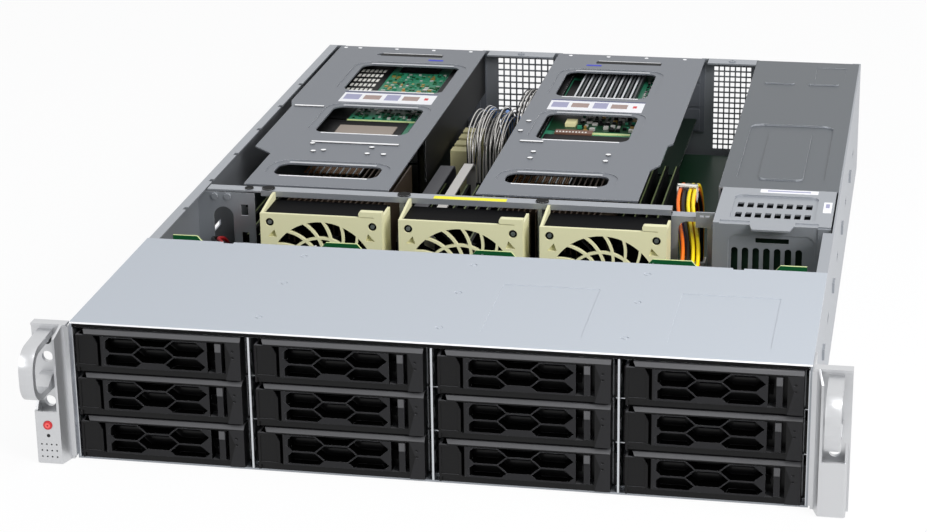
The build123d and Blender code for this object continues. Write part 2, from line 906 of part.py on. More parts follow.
def ear_body(side):
    top = chassis_height - ear_rise
    low = ear_rise
    inner = ear_width
    plate = between(ear_x(side, 0), ear_x(side, inner - sheet), front - ear_thickness, front, low, top)
    plate += between(ear_x(side, 0), ear_x(side, inner - sheet), front - ear_cap_front - ear_thickness,
                     front + ear_cap_rear, top - ear_cap, top)
    plate += between(ear_x(side, inner), ear_x(side, inner - sheet), front - ear_thickness,
                     front + ear_flange_depth, low + ear_flange_gap, top - ear_flange_gap)
    face_end = inner - ear_slope_width
    block_top = low + ear_block_height
    block = plate_xy([(ear_x(side, ear_inset), front),
                      (ear_x(side, ear_inset), front - ear_proud + ear_corner),
                      (ear_x(side, ear_inset + ear_corner), front - ear_proud),
                      (ear_x(side, face_end), front - ear_proud),
                      (ear_x(side, face_end + ear_slope_run), front - ear_thickness / 2),
                      (ear_x(side, face_end + ear_slope_run), front)], low, block_top)
    hollow = between(ear_x(side, ear_wall * 2), ear_x(side, face_end - ear_wall),
                     front - ear_proud + ear_wall, front + overrun, low + ear_wall,
                     block_top - pocket_depth - ear_wall)
    pocket = between(ear_x(side, ear_inset + ear_wall), ear_x(side, face_end - ear_wall),
                     front - ear_proud + ear_wall, front - ear_thickness, block_top - pocket_depth,
                     block_top + overrun)
    rim = plate_yz([(front - ear_proud + ear_wall, block_top - ear_wall),
                    (front - ear_thickness / 2, block_top + ear_rim),
                    (front - ear_thickness / 2, block_top - ear_wall)],
                   ear_x(side, ear_inset), ear_x(side, ear_inset + ear_wall))
    plate = plate + block - hollow - pocket + rim + ear_side_wall(side, low, top)
    holes = []
    for index in range(2):
        holes.append(bar_y(side * rack_hole_spacing / 2, rack_hole_height + index * rack_hole_pitch,
                           rack_hole_radius, front - ear_thickness - overrun, front + overrun))
    return plate - holes + ear_handle(side)


control_x = -(rack_width / 2 - control_inset)
control_back = front - ear_proud + ear_wall


def control_ear():
    """The left ear, with holes for the two buttons and the status lights."""
    body = ear_body(-1)
    cuts = [bar_y(control_x, power_height, power_radius + button_clearance, front - ear_proud - overrun,
                  control_back + overrun),
            bar_y(control_x, reset_height, reset_radius + button_clearance, front - ear_proud - overrun,
                  control_back + overrun)]
    for row in range(icon_rows):
        for column in range(icon_columns):
            x = control_x + (column - (icon_columns - 1) / 2) * icon_pitch_x
            cuts.append(bar_y(x, icon_top - row * icon_pitch_z, icon_radius, front - ear_proud - overrun,
                              control_back + overrun))
    return body - cuts


def control_board():
    """The small board behind the buttons, with a switch for each."""
    inner = ear_width
    y1 = front - part_gap
    y0 = y1 - panel_board
    pcb_top = ear_rise + ear_block_height - pocket_depth - ear_wall
    pcb = between(ear_x(-1, 2 * ear_wall), ear_x(-1, inner - ear_slope_width - ear_wall),
                  y0, y1, ear_rise + ear_wall + part_gap, pcb_top)
    switches = []
    for z, radius, travel in ((power_height, power_radius, power_travel),
                              (reset_height, reset_radius, reset_travel)):
        start = control_back + button_flange_depth + travel + part_gap / 2
        switches.append(bar_y(control_x, z, radius, start, y0))
    return [pcb] + switches


def panel_button(z, radius, proud):
    button = bar_y(control_x, z, radius, front - ear_proud - proud, control_back + button_flange_depth)
    flange = bar_y(control_x, z, radius + button_flange, control_back + slide_gap / 2,
                   control_back + button_flange_depth)
    return button + flange


# Fan module: holder with a swirl guard, fan frame and rotor
def fan_centre(index):
    return fan_first + index * fan_pitch


fan_axis_z = sheet + fan_rise + fan_size / 2
guard_back = front + fan_front + guard_thickness
frame_back = guard_back + fan_depth
holder_half = fan_size / 2 + slide_gap + holder_wall
fan_low = sheet + fan_rise
fan_top = fan_low + fan_size
holder_top = fan_top + holder_head


def guard_sketch():
    """The guard's open area with its rings and swirling ribs, centred on the fan's axis."""
    ribs = Sketch()
    band = Pos(guard_rib_bend, 0) * (Circle(guard_rib_bend + guard_rib / 2)
                                     - Circle(guard_rib_bend - guard_rib / 2))
    half = Pos(0, guard_open) * Rectangle(4 * guard_open, 2 * guard_open)
    arm = band & half & Circle(guard_open + guard_rib)
    for index in range(guard_ribs):
        ribs += Rot(0, 0, index * 360 / guard_ribs) * arm
    ribs += Circle(guard_ring + guard_rib / 2) - Circle(guard_ring - guard_rib / 2)
    ribs += Circle(guard_hub)
    return Circle(guard_open) - ribs


def fan_holder(x, openings):
    z = fan_axis_z
    y0 = front + fan_front
    guard = between(x - holder_half, x + holder_half, y0, guard_back, fan_low, holder_top)
    guard -= extrude(facing_rear(x, y0 - overrun, z) * openings, amount=guard_thickness + 2 * overrun)
    inset = fan_size / 2 - guard_screw_inset
    for sx in (-1, 1):
        for sz in (-1, 1):
            guard -= bar_y(x + sx * inset, z + sz * inset, guard_screw_radius, y0 - overrun,
                           y0 + guard_thickness / 2)
            corner = [(x + sx * u * fan_size / 2, z + sz * v * fan_size / 2)
                      for u, v in guard_corner_shares]
            guard -= plate_xz(corner, y0 - overrun, guard_back + overrun)
    for side in (-1, 1):
        outer = x + side * holder_half
        guard += between(outer, outer - side * holder_wall, guard_back, y0 + holder_depth, fan_low,
                         holder_top)
    gusset_rear = front + bar_front - fan_lift_gap
    gusset_left = x - holder_half
    gusset_top = holder_top + gusset_rise
    guard += plate_yz([(guard_back, holder_top), (gusset_rear - gusset_width / 2, gusset_top),
                       (gusset_rear, gusset_top), (gusset_rear, holder_top - holder_wall),
                       (guard_back, holder_top - holder_wall)],
                      gusset_left, gusset_left + holder_wall)
    right = x + holder_half
    tab_rear = y0 + finger_tab_thickness
    guard += between(right - finger_post, right, y0, tab_rear, holder_top, holder_top + finger_tab_height)
    guard += rounded_xz(right - finger_tab_width, right, holder_top + finger_tab_gap,
                        holder_top + finger_tab_height, finger_tab_corner, y0, tab_rear)
    return guard


def fan_frame(x):
    half = fan_size / 2
    z = fan_axis_z
    frame = between(x - half, x + half, guard_back, frame_back, fan_low, fan_top)
    frame -= bar_y(x, z, fan_bore, guard_back - overrun, frame_back + overrun)
    base_front = frame_back - fan_base_depth
    frame += bar_y(x, z, fan_hub - overrun, base_front, frame_back)
    for angle in range(4):
        strut = between(x, x + fan_bore + overrun, base_front, frame_back, z - fan_strut / 2,
                        z + fan_strut / 2)
        frame += strut.rotate(Axis((x, 0, z), (0, 1, 0)), 45 + angle * 90)
    shaft_front = base_front - fan_hub_depth / 2
    return frame + bar_y(x, z, fan_shaft, shaft_front, base_front)


def fan_rotor(x):
    z = fan_axis_z
    y1 = frame_back - fan_base_depth - slide_gap
    y0 = y1 - fan_hub_depth
    rotor = bar_y(x, z, fan_hub, y0, y1)
    reach = fan_bore - fan_tip_gap
    middle = (y0 + y1) / 2
    blade = between(fan_hub - fan_blade_thickness, reach, -fan_blade_thickness / 2, fan_blade_thickness / 2,
                    -fan_blade_chord / 2, fan_blade_chord / 2)
    blade = blade.rotate(Axis.X, fan_blade_pitch + 90)
    for index in range(fan_blades):
        turned = blade.rotate(Axis.Y, index * 360 / fan_blades)
        rotor += Pos(x, middle, z) * turned
    rotor &= bar_y(x, z, reach, y0, y1)
    bore_front = frame_back - fan_base_depth - fan_hub_depth / 2 - part_gap
    return rotor - bar_y(x, z, fan_shaft + fan_shaft_clearance, bore_front, y1 + overrun)


# Fan wall: bar over the fans, posts, and a bracket at each end
def fan_wall():
    y0 = front + bar_front
    y1 = y0 + bar_depth
    bar = between(bar_left, bar_right, y0, y1, deck_bottom, deck_top)
    bar += between(bar_left, bar_right, y0, y0 + sheet, deck_top - bar_lip, deck_top)
    bar += between(bar_left, bar_right, y1 - sheet, y1, deck_top - bar_lip, deck_top)
    post_back = y1 - sheet
    for index in range(1, fan_count):
        x = fan_first + (index - 1 / 2) * fan_pitch
        bar += between(x - post_width / 2, x + post_width / 2, y0 + sheet, post_back, sheet, deck_bottom)
    return [bar, left_bracket(), right_bracket(y0)] + grommets(y0, y1)


def left_bracket():
    y0 = front + bracket_front
    y1 = y0 + sheet
    plate = between(-inner_half, bracket_left_end, y0, y1, sheet, deck_top - bar_lip / 2)
    plate += between(-inner_half + lip_width, bar_left, y0, y0 + bar_depth, deck_bottom, deck_top)
    radius = (arch_right - arch_left) / 2
    cuts = [between(arch_left, arch_right, y0 - overrun, y1 + overrun, sheet - overrun, arch_top - radius),
            bar_y((arch_left + arch_right) / 2, arch_top - radius, radius, y0 - overrun, y1 + overrun)]
    for z in (square_low, square_high):
        cuts.append(between(square_hole_x - square_hole / 2, square_hole_x + square_hole / 2, y0 - overrun,
                            y1 + overrun, z - square_hole_height / 2, z + square_hole_height / 2))
    plate -= cuts
    for x in (stud_inner, stud_outer):
        plate += bar_y(x, stud_height, stud_radius, y0 - stud_rise, y0)
    return plate


def right_bracket(y0):
    plate = between(gate_left, gate_right, y0, y0 + sheet, sheet, deck_top - bar_lip)
    plate += between(gate_left, gate_right, y0, y0 + bar_depth, deck_top - bar_lip - sheet,
                     deck_top - bar_lip)
    opening = rounded_xz(gate_left + gate_column, gate_right - gate_column, gate_sill, gate_top, gate_corner,
                         y0 - overrun, y0 + sheet + overrun)
    flap_left = gate_right - flap_width
    flap = between(flap_left, gate_right, y0 - sheet, y0, deck_top - flap_height, deck_top - part_gap)
    slots = []
    for share in flap_slot_shares:
        x = flap_left + share * flap_width
        slots.append(between(x, x + flap_slot, y0 - sheet - overrun, y0 + overrun,
                             deck_top - flap_slot_drop, deck_top - flap_slot_drop + flap_slot_height))
    return plate - opening + flap - slots


def grommets(y0, y1):
    """Rubber stops on the bar, and the rubber post beside the first fan."""
    middle = (y0 + y1) / 2
    pieces = [bar_z(fan_centre(index) - holder_half - grommet_radius, middle, grommet_radius, deck_top,
                    deck_top + grommet_rise) for index in range(fan_count)]
    post_y = front + bracket_front + bar_depth / 2
    pieces.append(bar_z(pillar_x, post_y, pillar_radius, deck_bottom - pillar_height, deck_bottom))
    pieces.append(bar_z(pillar_x, post_y, pillar_radius, deck_top, deck_top + grommet_rise))
    return pieces


# Main board with its processors' heat sinks, memory and slots
def heatsink(x):
    y0 = front + heatsink_front
    y1 = y0 + heatsink_depth
    low = board_top + processor_socket
    left = x - heatsink_width / 2
    base = between(left, left + heatsink_width, y0, y1, low, low + heatsink_base)
    step = (heatsink_width - fin_thickness) / (heatsink_fins - 1)
    fins = [between(left + step * index, left + step * index + fin_thickness, y0, y1, low + heatsink_base,
                    low + heatsink_height) for index in range(heatsink_fins)]
    return base + fins


def processor(x):
    y0 = front + heatsink_front + processor_frame
    y1 = y0 + heatsink_depth - 2 * processor_frame
    half = heatsink_width / 2 - processor_frame
    return between(x - half, x + half, y0, y1, board_top, board_top + processor_socket)


def memory_module(x, near):
    """One module and the slot that it stands in."""
    y0 = front + near
    y1 = y0 + memory_length
    base = board_top + memory_slot_height
    slot = between(x - memory_slot_width / 2, x + memory_slot_width / 2, y0 - memory_slot_extra,
                   y1 + memory_slot_extra, board_top, base)
    for y, side in ((y0 - part_gap, -1), (y1 + part_gap, 1)):
        slot += between(x - memory_slot_width / 2, x + memory_slot_width / 2, y,
                        y + side * (memory_latch_length - part_gap), base, base + memory_latch_height)
    module = between(x - memory_thickness / 2, x + memory_thickness / 2, y0, y1, base, base + memory_height)
    return [slot, module]


def memory_places():
    """Place across and depth of each module, in three groups beside the processors."""
    left = [heatsink_left_x - heatsink_width / 2 - memory_pitch * (index + 1) for index in range(4)]
    middle_x = (heatsink_left_x + heatsink_right_x) / 2
    middle = [middle_x + memory_pitch * (index - 7 / 2) for index in range(8)]
    right = [heatsink_right_x + heatsink_width / 2 + memory_pitch * (index + 1) for index in range(4)]
    return [(x, memory_front) for x in left + middle] + [(x, memory_right_front) for x in right]


def main_board():
    pcb = between(main_left, main_right, front + main_front, front + main_rear, board_low, board_top)
    pieces = [pcb]
    for x in (heatsink_left_x, heatsink_right_x):
        pieces += [processor(x), heatsink(x)]
    for x, near in memory_places():
        pieces += memory_module(x, near)
    for x in (left_riser_board, right_riser_board):
        pieces.append(between(x - riser_slot_width / 2, x + riser_slot_width / 2, front + riser_board_front,
                              front + riser_board_rear, board_top, board_top + riser_slot_height))
    for index in range(lead_sockets):
        y = front + lead_socket_front + index * lead_socket_pitch
        pieces.append(between(lead_socket_x, lead_socket_x + lead_socket_width, y, y + lead_socket_depth,
                              board_top, board_top + lead_socket_height))
    lane_y = front + lane_socket_front
    pieces.append(between(lane_socket_x, lane_socket_x + lane_socket_width, lane_y,
                          lane_y + lane_socket_depth, board_top, board_top + lane_socket_height))
    for left, width, height in port_places():
        pieces.append(between(left, left + width, rear - port_depth, rear - slide_gap, board_top,
                              board_top + height))
    return pieces


# Risers: a flat bracket with windows, a riser board and its cards
riser_rear = rear - sheet - part_gap


def slot_base(slot):
    """The lower edge of a card's bracket, counted from the lowest slot."""
    return deck_bottom - bracket_height - (bracket_count - 1 - slot) * bracket_pitch


def riser_bracket(left, width, near, outlines, windows, ridges, bumps, skirt_side):
    """The folded bracket: top plate, one skirt beside the riser board, and the rear plate."""
    length = riser_rear - near
    plate = plate_xy([(left + u * width, near + v * length) for u, v in outlines], deck_bottom, deck_top)
    cuts = []
    for u0, u1, v0, v1 in windows:
        x0 = left + u0 * width
        x1 = left + u1 * width
        y0 = near + v0 * length
        y1 = near + v1 * length
        w = window_rim_width
        b = window_border
        corner = min(window_corner, (x1 - x0) / 2 - slide_gap, (y1 - y0) / 2 - slide_gap)
        plate += rounded_xy(x0 - w, x1 + w, y0 - w, y1 + w, corner + w, deck_bottom - window_rim,
                            deck_bottom)
        cuts.append(rounded_xy(x0, x1, y0, y1, corner, deck_bottom - window_rim - overrun,
                               deck_top + overrun))
        cuts.append(rounded_xy(x0 - b, x1 + b, y0 - b, y1 + b, corner + b, deck_top - window_step,
                               deck_top + overrun))
    for u0, u1, v0, v1 in ridges:
        plate += between(left + u0 * width, left + u1 * width, near + v0 * length, near + v1 * length,
                         deck_top, deck_top + ridge_rise)
    skirt = left if skirt_side < 0 else left + width
    plate += between(skirt, skirt - skirt_side * sheet, front + riser_skirt_front, front + riser_skirt_rear,
                     deck_top - riser_skirt, deck_bottom)
    rear_plate = between(left, left + width, riser_rear - sheet, riser_rear, slot_base(0) - sheet,
                         deck_bottom)
    middle = left + width / 2
    for slot in range(bracket_count):
        low = slot_base(slot)
        opening = bracket_length / 2 - 2 * sheet
        cuts.append(between(middle - opening, middle + opening, riser_rear - sheet - overrun,
                            riser_rear + overrun, low + sheet, low + bracket_height - sheet))
    grip_y = riser_rear - grip_rear_gap
    cuts.append(rounded_xy(middle - grip_width / 2, middle + grip_width / 2, grip_y - grip_depth, grip_y,
                           grip_depth / 2 - slide_gap, deck_bottom - overrun, deck_top + overrun))
    plate = plate + rear_plate - cuts
    plate += [bar_z(left + u * width, near + v * length, bump_radius, deck_top, deck_top + bump_rise)
              for u, v in bumps]
    return plate


def slot_cover(middle, slot):
    """The bright bracket that closes one card slot, with a grid of air holes."""
    low = slot_base(slot) + slide_gap
    y1 = riser_rear - sheet
    y0 = y1 - bracket_thickness
    cover = between(middle - bracket_length / 2, middle + bracket_length / 2, y0, y1, low,
                    low + bracket_height - 2 * slide_gap)
    holes = []
    first_x = middle - bracket_hole_pitch * (bracket_hole_columns - 1) / 2
    first_z = low + bracket_height / 2 - bracket_hole_pitch * (bracket_hole_rows - 1) / 2
    for column in range(bracket_hole_columns):
        for row in range(bracket_hole_rows):
            x = first_x + column * bracket_hole_pitch
            z = first_z + row * bracket_hole_pitch
            holes.append(between(x - bracket_hole / 2, x + bracket_hole / 2, y0 - overrun, y1 + overrun,
                                 z - bracket_hole / 2, z + bracket_hole / 2))
    return cover - holes


def riser_cards(left, width, board_x, side):
    """The riser board, its sockets and the cards that plug into them, away from the given side."""
    low = board_top + riser_slot_height + riser_lift_gap
    pieces = [between(board_x - board / 2, board_x + board / 2, front + riser_board_front,
                      front + riser_board_rear, low, deck_bottom - slide_gap)]
    face = board_x + side * board / 2
    far = (left if side < 0 else left + width) - side * card_edge_gap
    card_rear = riser_rear - sheet - bracket_thickness
    for slot, length in zip(card_slots, card_lengths):
        z = slot_base(slot) + bracket_height / 2
        card_front = card_rear - length
        socket_end = face + side * card_socket_width
        socket_front = max(card_front, front + riser_board_front)
        pieces.append(between(face, socket_end, socket_front, front + riser_board_rear,
                              z - card_socket_height / 2, z + card_socket_height / 2))
        pieces.append(between(socket_end, far, card_front, card_rear, z - board / 2, z + board / 2))
        x0 = socket_end + side * card_sink_inset
        x1 = far - side * card_sink_inset
        y0 = card_front + card_sink_inset
        y1 = card_rear - card_sink_inset
        base = z - board / 2 - sheet
        sink = between(x0, x1, y0, y1, base, z - board / 2)
        step = (x1 - x0 - side * fin_thickness) / (card_sink_fins - 1)
        sink += [between(x0 + index * step, x0 + index * step + side * fin_thickness, y0, y1,
                         base - card_sink_height, base) for index in range(card_sink_fins)]
        pieces.append(sink)
    pieces += [slot_cover(left + width / 2, slot) for slot in range(bracket_count)]
    return pieces


# Power supplies
psu_right = psu_left + psu_width
psu_base = [sheet + psu_wall_gap, sheet + 2 * psu_wall_gap + psu_height + psu_shelf + psu_wall_gap]
psu_rear = rear + part_gap
psu_fan_x = psu_left + psu_bore + 2 * psu_face
psu_inlet_x = psu_right - psu_inlet_width / 2 - 3 * psu_face
psu_latch_x = psu_right - 2 * psu_face


def power_supply(index):
    low = psu_base[index]
    middle = low + psu_height / 2
    y0 = psu_rear - psu_depth
    case = between(psu_left, psu_right, y0, psu_rear, low, low + psu_height)
    bore_front = psu_rear - 5 * psu_face
    bore = bar_y(psu_fan_x, middle, psu_bore, bore_front, psu_rear + overrun)
    inlet = between(psu_inlet_x - psu_inlet_width / 2, psu_inlet_x + psu_inlet_width / 2,
                    psu_rear - psu_inlet_depth, psu_rear + overrun,
                    middle - psu_inlet_height / 2, middle + psu_inlet_height / 2)
    case -= [bore, inlet]
    rings = []
    for ring in range(1, psu_grille_rings + 1):
        radius = psu_bore * ring / (psu_grille_rings + 1)
        circle = Circle(radius) - Circle(radius - psu_grille_ring)
        rings.append(extrude(facing_rear(psu_fan_x, psu_rear - psu_face, middle) * circle, amount=psu_face))
    cross = [between(psu_fan_x - psu_bore, psu_fan_x + psu_bore, psu_rear - psu_face, psu_rear,
                     middle - psu_grille_ring / 2, middle + psu_grille_ring / 2),
             between(psu_fan_x - psu_grille_ring / 2, psu_fan_x + psu_grille_ring / 2, psu_rear - psu_face,
                     psu_rear, middle - psu_bore, middle + psu_bore)]
    case += rings + cross
    grip_end = psu_rear + psu_handle_reach
    left = psu_fan_x - psu_handle_width / 2
    right = psu_fan_x + psu_handle_width / 2
    low_bar = middle - psu_handle_bar / 2
    high_bar = middle + psu_handle_bar / 2
    for x in (left, right - psu_handle_bar):
        case += between(x, x + psu_handle_bar, psu_rear - psu_face, grip_end, low_bar, high_bar)
    case += between(left, right, grip_end - psu_handle_bar, grip_end, low_bar, high_bar)
    case += bar_z(psu_latch_x, psu_rear + psu_latch_pin + psu_face, psu_latch_pin,
                  middle - psu_latch_height / 2 - psu_face, middle + psu_latch_height / 2 + psu_face)
    for z in (middle - psu_latch_height / 2 - psu_face, middle + psu_latch_height / 2 + part_gap):
        case += between(psu_latch_x - psu_face, psu_latch_x + psu_face, psu_rear - psu_face,
                        psu_rear + 2 * psu_latch_pin + psu_face, z, z + psu_face - part_gap)
    pins = [between(psu_inlet_x + dx - psu_face / 2, psu_inlet_x + dx + psu_face / 2,
                    psu_rear - psu_inlet_depth, psu_rear - psu_inlet_depth / 4, middle - psu_face / 4 + dz,
                    middle + psu_face / 4 + dz)
            for dx, dz in ((-3 * psu_face, psu_face), (0, -psu_face), (3 * psu_face, psu_face))]
    return case + pins


def psu_latch(index):
    middle = psu_base[index] + psu_height / 2
    pin_y = psu_rear + psu_latch_pin + psu_face
    low = middle - psu_latch_height / 2
    high = middle + psu_latch_height / 2
    barrel = psu_latch_pin + psu_latch_thickness
    arm = between(psu_latch_x - psu_latch_thickness / 2, psu_latch_x + psu_latch_thickness / 2, pin_y,
                  pin_y + psu_latch_arm, low, high)
    arm += bar_z(psu_latch_x, pin_y, barrel, low, high)
    return arm - bar_z(psu_latch_x, pin_y, psu_latch_pin + hinge_clearance, low - overrun, high + overrun)


# Cage around the power supplies and the slotted guard in front of it
def pressed_panel(x0, x1, y0, y1, corner):
    """The hole in the deck and the shallow tray that fills it, for a panel pressed down."""
    hole = rounded_xy(x0, x1, y0, y1, corner, deck_bottom - overrun, deck_top + overrun)
    tray = rounded_xy(x0 - sheet, x1 + sheet, y0 - sheet, y1 + sheet, corner + sheet,
                      deck_bottom - panel_step, deck_top)
    tray -= rounded_xy(x0, x1, y0, y1, corner, deck_top - panel_step, deck_top + overrun)
    return hole, tray


def psu_cage():
    wall_x = psu_left - psu_wall_gap - sheet
    y0 = front + cage_front
    y1 = rear - sheet
    cage = between(wall_x, inner_half, y0, y1, deck_bottom, deck_top)
    cage += between(wall_x, wall_x + sheet, y0, y1, sheet, deck_top)
    shelf_low = psu_base[0] + psu_height + psu_wall_gap
    cage += between(wall_x + sheet, inner_half, psu_rear - psu_depth, y1, shelf_low, shelf_low + psu_shelf)
    hole, tray = pressed_panel(emboss_left, emboss_right, front + emboss_front, front + emboss_rear,
                               emboss_corner)
    cage = cage - hole + tray
    inner_left = emboss_left + emboss_border
    inner_right = emboss_right - emboss_border
    inner_front = front + emboss_inner_front
    inner_rear = front + emboss_inner_rear
    cage += rounded_xy(inner_left, inner_right, inner_front, inner_rear, emboss_inner_corner,
                       deck_bottom - panel_step, deck_top)
    cage -= rounded_xy(inner_left + sheet, inner_right - sheet, inner_front + sheet, inner_rear - sheet,
                       emboss_inner_corner - sheet, deck_bottom - panel_step - overrun, deck_bottom)
    for index in range(2):
        x = bead_left + index * bead_pitch
        cage += rounded_xy(x, x + bead_width, front + bead_rear, front + bead_rear + bead_depth,
                           bead_depth / 2 - slide_gap, deck_top, deck_top + emboss)
    cage -= between(dip_left, dip_right, front + dip_front, front + dip_rear, deck_top - dimple_depth,
                    deck_top + overrun)
    return cage


def psu_guard():
    left = psu_left + sheet
    right = inner_half - sheet
    y0 = front + guard_front
    y1 = front + cage_front - part_gap
    lip = guard_lip
    top = plate_xy([(left, y0), (guard_lip_left - sheet * 2, y0), (guard_lip_left, y0 - lip),
                    (guard_lip_right, y0 - lip), (guard_lip_right + sheet * 2, y0), (right, y0), (right, y1),
                    (left, y1)], deck_bottom, deck_top)
    holes = []
    for index in range(guard_holes):
        x = guard_hole_first + index * guard_hole_pitch
        for y in (guard_hole_near, guard_hole_far):
            holes.append(between(x - guard_hole_width / 2, x + guard_hole_width / 2,
                                 front + y - guard_hole_depth / 2, front + y + guard_hole_depth / 2,
                                 deck_bottom - panel_step - overrun, deck_top + overrun))
    for x0, x1 in ((left + edge_dip_inset, guard_lip_left - 2 * sheet),
                   (guard_lip_right + 2 * sheet, right - tab_width)):
        holes.append(between(x0, x1, y0 - overrun, y0 + edge_dip_depth, deck_top - edge_dip_step,
                             deck_top + overrun))
    hole, tray = pressed_panel(guard_dip_left, guard_dip_right, front + guard_dip_front,
                               front + guard_dip_rear, guard_dip_corner)
    top = top - hole + tray - holes
    face = between(left, right, y0, y0 + sheet, sheet, deck_bottom)
    tab_low = deck_bottom - tab_length
    face += between(right - tab_width, right, y0 - sheet, y0, tab_low, deck_bottom)
    slots = [rounded_xz(surround_left, surround_right, surround_low, surround_high, surround_corner,
                        y0 - overrun, y0 + surround_step)]
    slots[0] -= between(right - tab_width - part_gap, right, y0 - sheet, y0 + sheet, tab_low, deck_bottom)
    hole_x = right - tab_width * (1 - tab_hole_share)
    hole_z = tab_low + tab_length / 3
    slots.append(between(hole_x, hole_x + tab_hole, y0 - sheet - overrun, y0, hole_z, hole_z + tab_hole))
    for index in range(guard_slots):
        x = guard_slot_first + index * guard_slot_pitch
        slots.append(rounded_xz(x - guard_slot_width / 2, x + guard_slot_width / 2, guard_slot_bottom,
                                guard_slot_top, guard_slot_width / 2 - slide_gap, y0 - overrun,
                                y0 + sheet + overrun))
    slots.append(between(guard_wide_slot_left, guard_wide_slot_right, y0 - overrun, y0 + sheet + overrun,
                         guard_wide_slot_low, guard_wide_slot_high))
    for wall in (left, right - sheet):
        face += between(wall, wall + sheet, y0, y1, sheet, deck_bottom)
    return top + face - slots


def distribution_board():
    """The upright board behind the guard, and the one where both supplies plug in."""
    y0 = front + guard_front + board_gap
    y1 = psu_rear - psu_depth - connector_depth - part_gap
    x0 = psu_left + 2 * sheet + part_gap
    x1 = inner_half - 2 * sheet - part_gap
    pieces = [between(x0, x1, y, y + board, sheet, deck_bottom - board_gap) for y in (y0, y1 - board)]
    for index in range(2):
        middle = psu_base[index] + psu_height / 2
        pieces.append(between(psu_left + psu_width / 4, psu_right - psu_width / 4, y1, y1 + connector_depth,
                              middle - connector_height, middle + connector_height))
    return pieces


# Rear panel with its meshes and openings
def port_places():
    """Left edge, width and height of each port in the row along the main board's rear edge."""
    left = port_first
    places = []
    for width, height in port_sizes:
        places.append((left, width, height))
        left += width + port_spacing
    return places


def mesh_holes(pitch, hole, left, low, across, up):
    """A grid of square air holes through the rear panel."""
    return [between(left + column * pitch, left + column * pitch + hole, rear - sheet - overrun,
                    rear + overrun, low + row * pitch, low + row * pitch + hole)
            for column in range(across) for row in range(up)]


def screw_top(x, y, z):
    """A screw head that stands on a face, with a crossed drive recess."""
    head = bar_z(x, y, screw_radius, z, z + screw_height)
    reach = screw_radius * 3 / 4
    low = z + screw_height - screw_slot_depth
    for across, along in ((reach, screw_slot / 2), (screw_slot / 2, reach)):
        head -= between(x - across, x + across, y - along, y + along, low, z + screw_height + overrun)
    return head


def rear_panel():
    y0 = rear - sheet
    top = deck_top
    panel = between(-inner_half, inner_half, y0, rear, sheet, top)
    left_start = left_riser_left + notch_inset
    left_end = left_riser_left + left_riser_width - notch_inset
    right_start = right_riser_left + notch_inset
    right_end = right_riser_left + right_riser_width - notch_inset
    cage_wall = psu_left - psu_wall_gap - sheet
    screws = []
    for x0, x1 in ((left_end + 2 * notch_inset, right_start - 2 * notch_inset),
                   (right_end + 2 * notch_inset, cage_wall - part_gap)):
        panel += between(x0, x1, y0 - rear_flange, y0, top - sheet, top)
        screws.append(screw_top((x0 + x1) / 2, y0 - rear_flange / 2, top))
    holes = [between(left_start, left_end, y0 - overrun, rear + overrun, slot_base(0), top + overrun),
             between(right_start, right_end, y0 - overrun, rear + overrun, slot_base(0), top + overrun),
             between(psu_left - psu_wall_gap, psu_right + psu_wall_gap, y0 - overrun, rear + overrun,
                     sheet - overrun, top + overrun)]
    holes += mesh_holes(mesh_pitch, mesh_hole, mesh_left, mesh_low, mesh_columns, mesh_rows)
    holes += mesh_holes(fine_pitch, fine_hole, fine_left, fine_low, fine_columns, fine_rows)
    for left, width, height in port_places():
        holes.append(between(left - port_gap, left + width + port_gap, y0 - overrun, rear + overrun,
                             board_top - port_gap, board_top + height + port_gap))
    return [panel - holes] + screws


# Cables inside the chassis
def wire(points, name):
    """A round lead on straight runs with tangent bends, each as wide as its two runs allow."""
    corners = [Vector(*point) for point in points]
    bends = []
    for before, here, after in zip(corners, corners[1:], corners[2:]):
        turn = math.radians((here - before).get_angle(after - here))
        shorter = min((here - before).length, (after - here).length)
        bends.append(bend_share * shorter / math.tan(turn / 2))
    path = FilletPolyline(*corners, radius=bends)
    section = Plane(origin=path @ 0, z_dir=path % 0) * Circle(wire_thickness / 2)
    lead = sweep(section, path=path)
    expected = path.length * math.pi * wire_thickness ** 2 / 4
    print(name, "length", round(path.length, 1), "volume share", round(lead.volume / expected, 4),
          "radii", [round(bend, 1) for bend in bends])
    return lead


board_half = inner_half - backplane_side_gap
front_plug_y = front + backplane_front + board + socket_depth
signal_plug_z = wall_top - backplane_drop - socket_drops[0]
power_plug_z = wall_top - backplane_drop - socket_drops[2]
power_plug_x = (2 * socket_shares[2] - 1) * board_half
signal_plug_x = (2 * socket_shares[0] - 1) * board_half


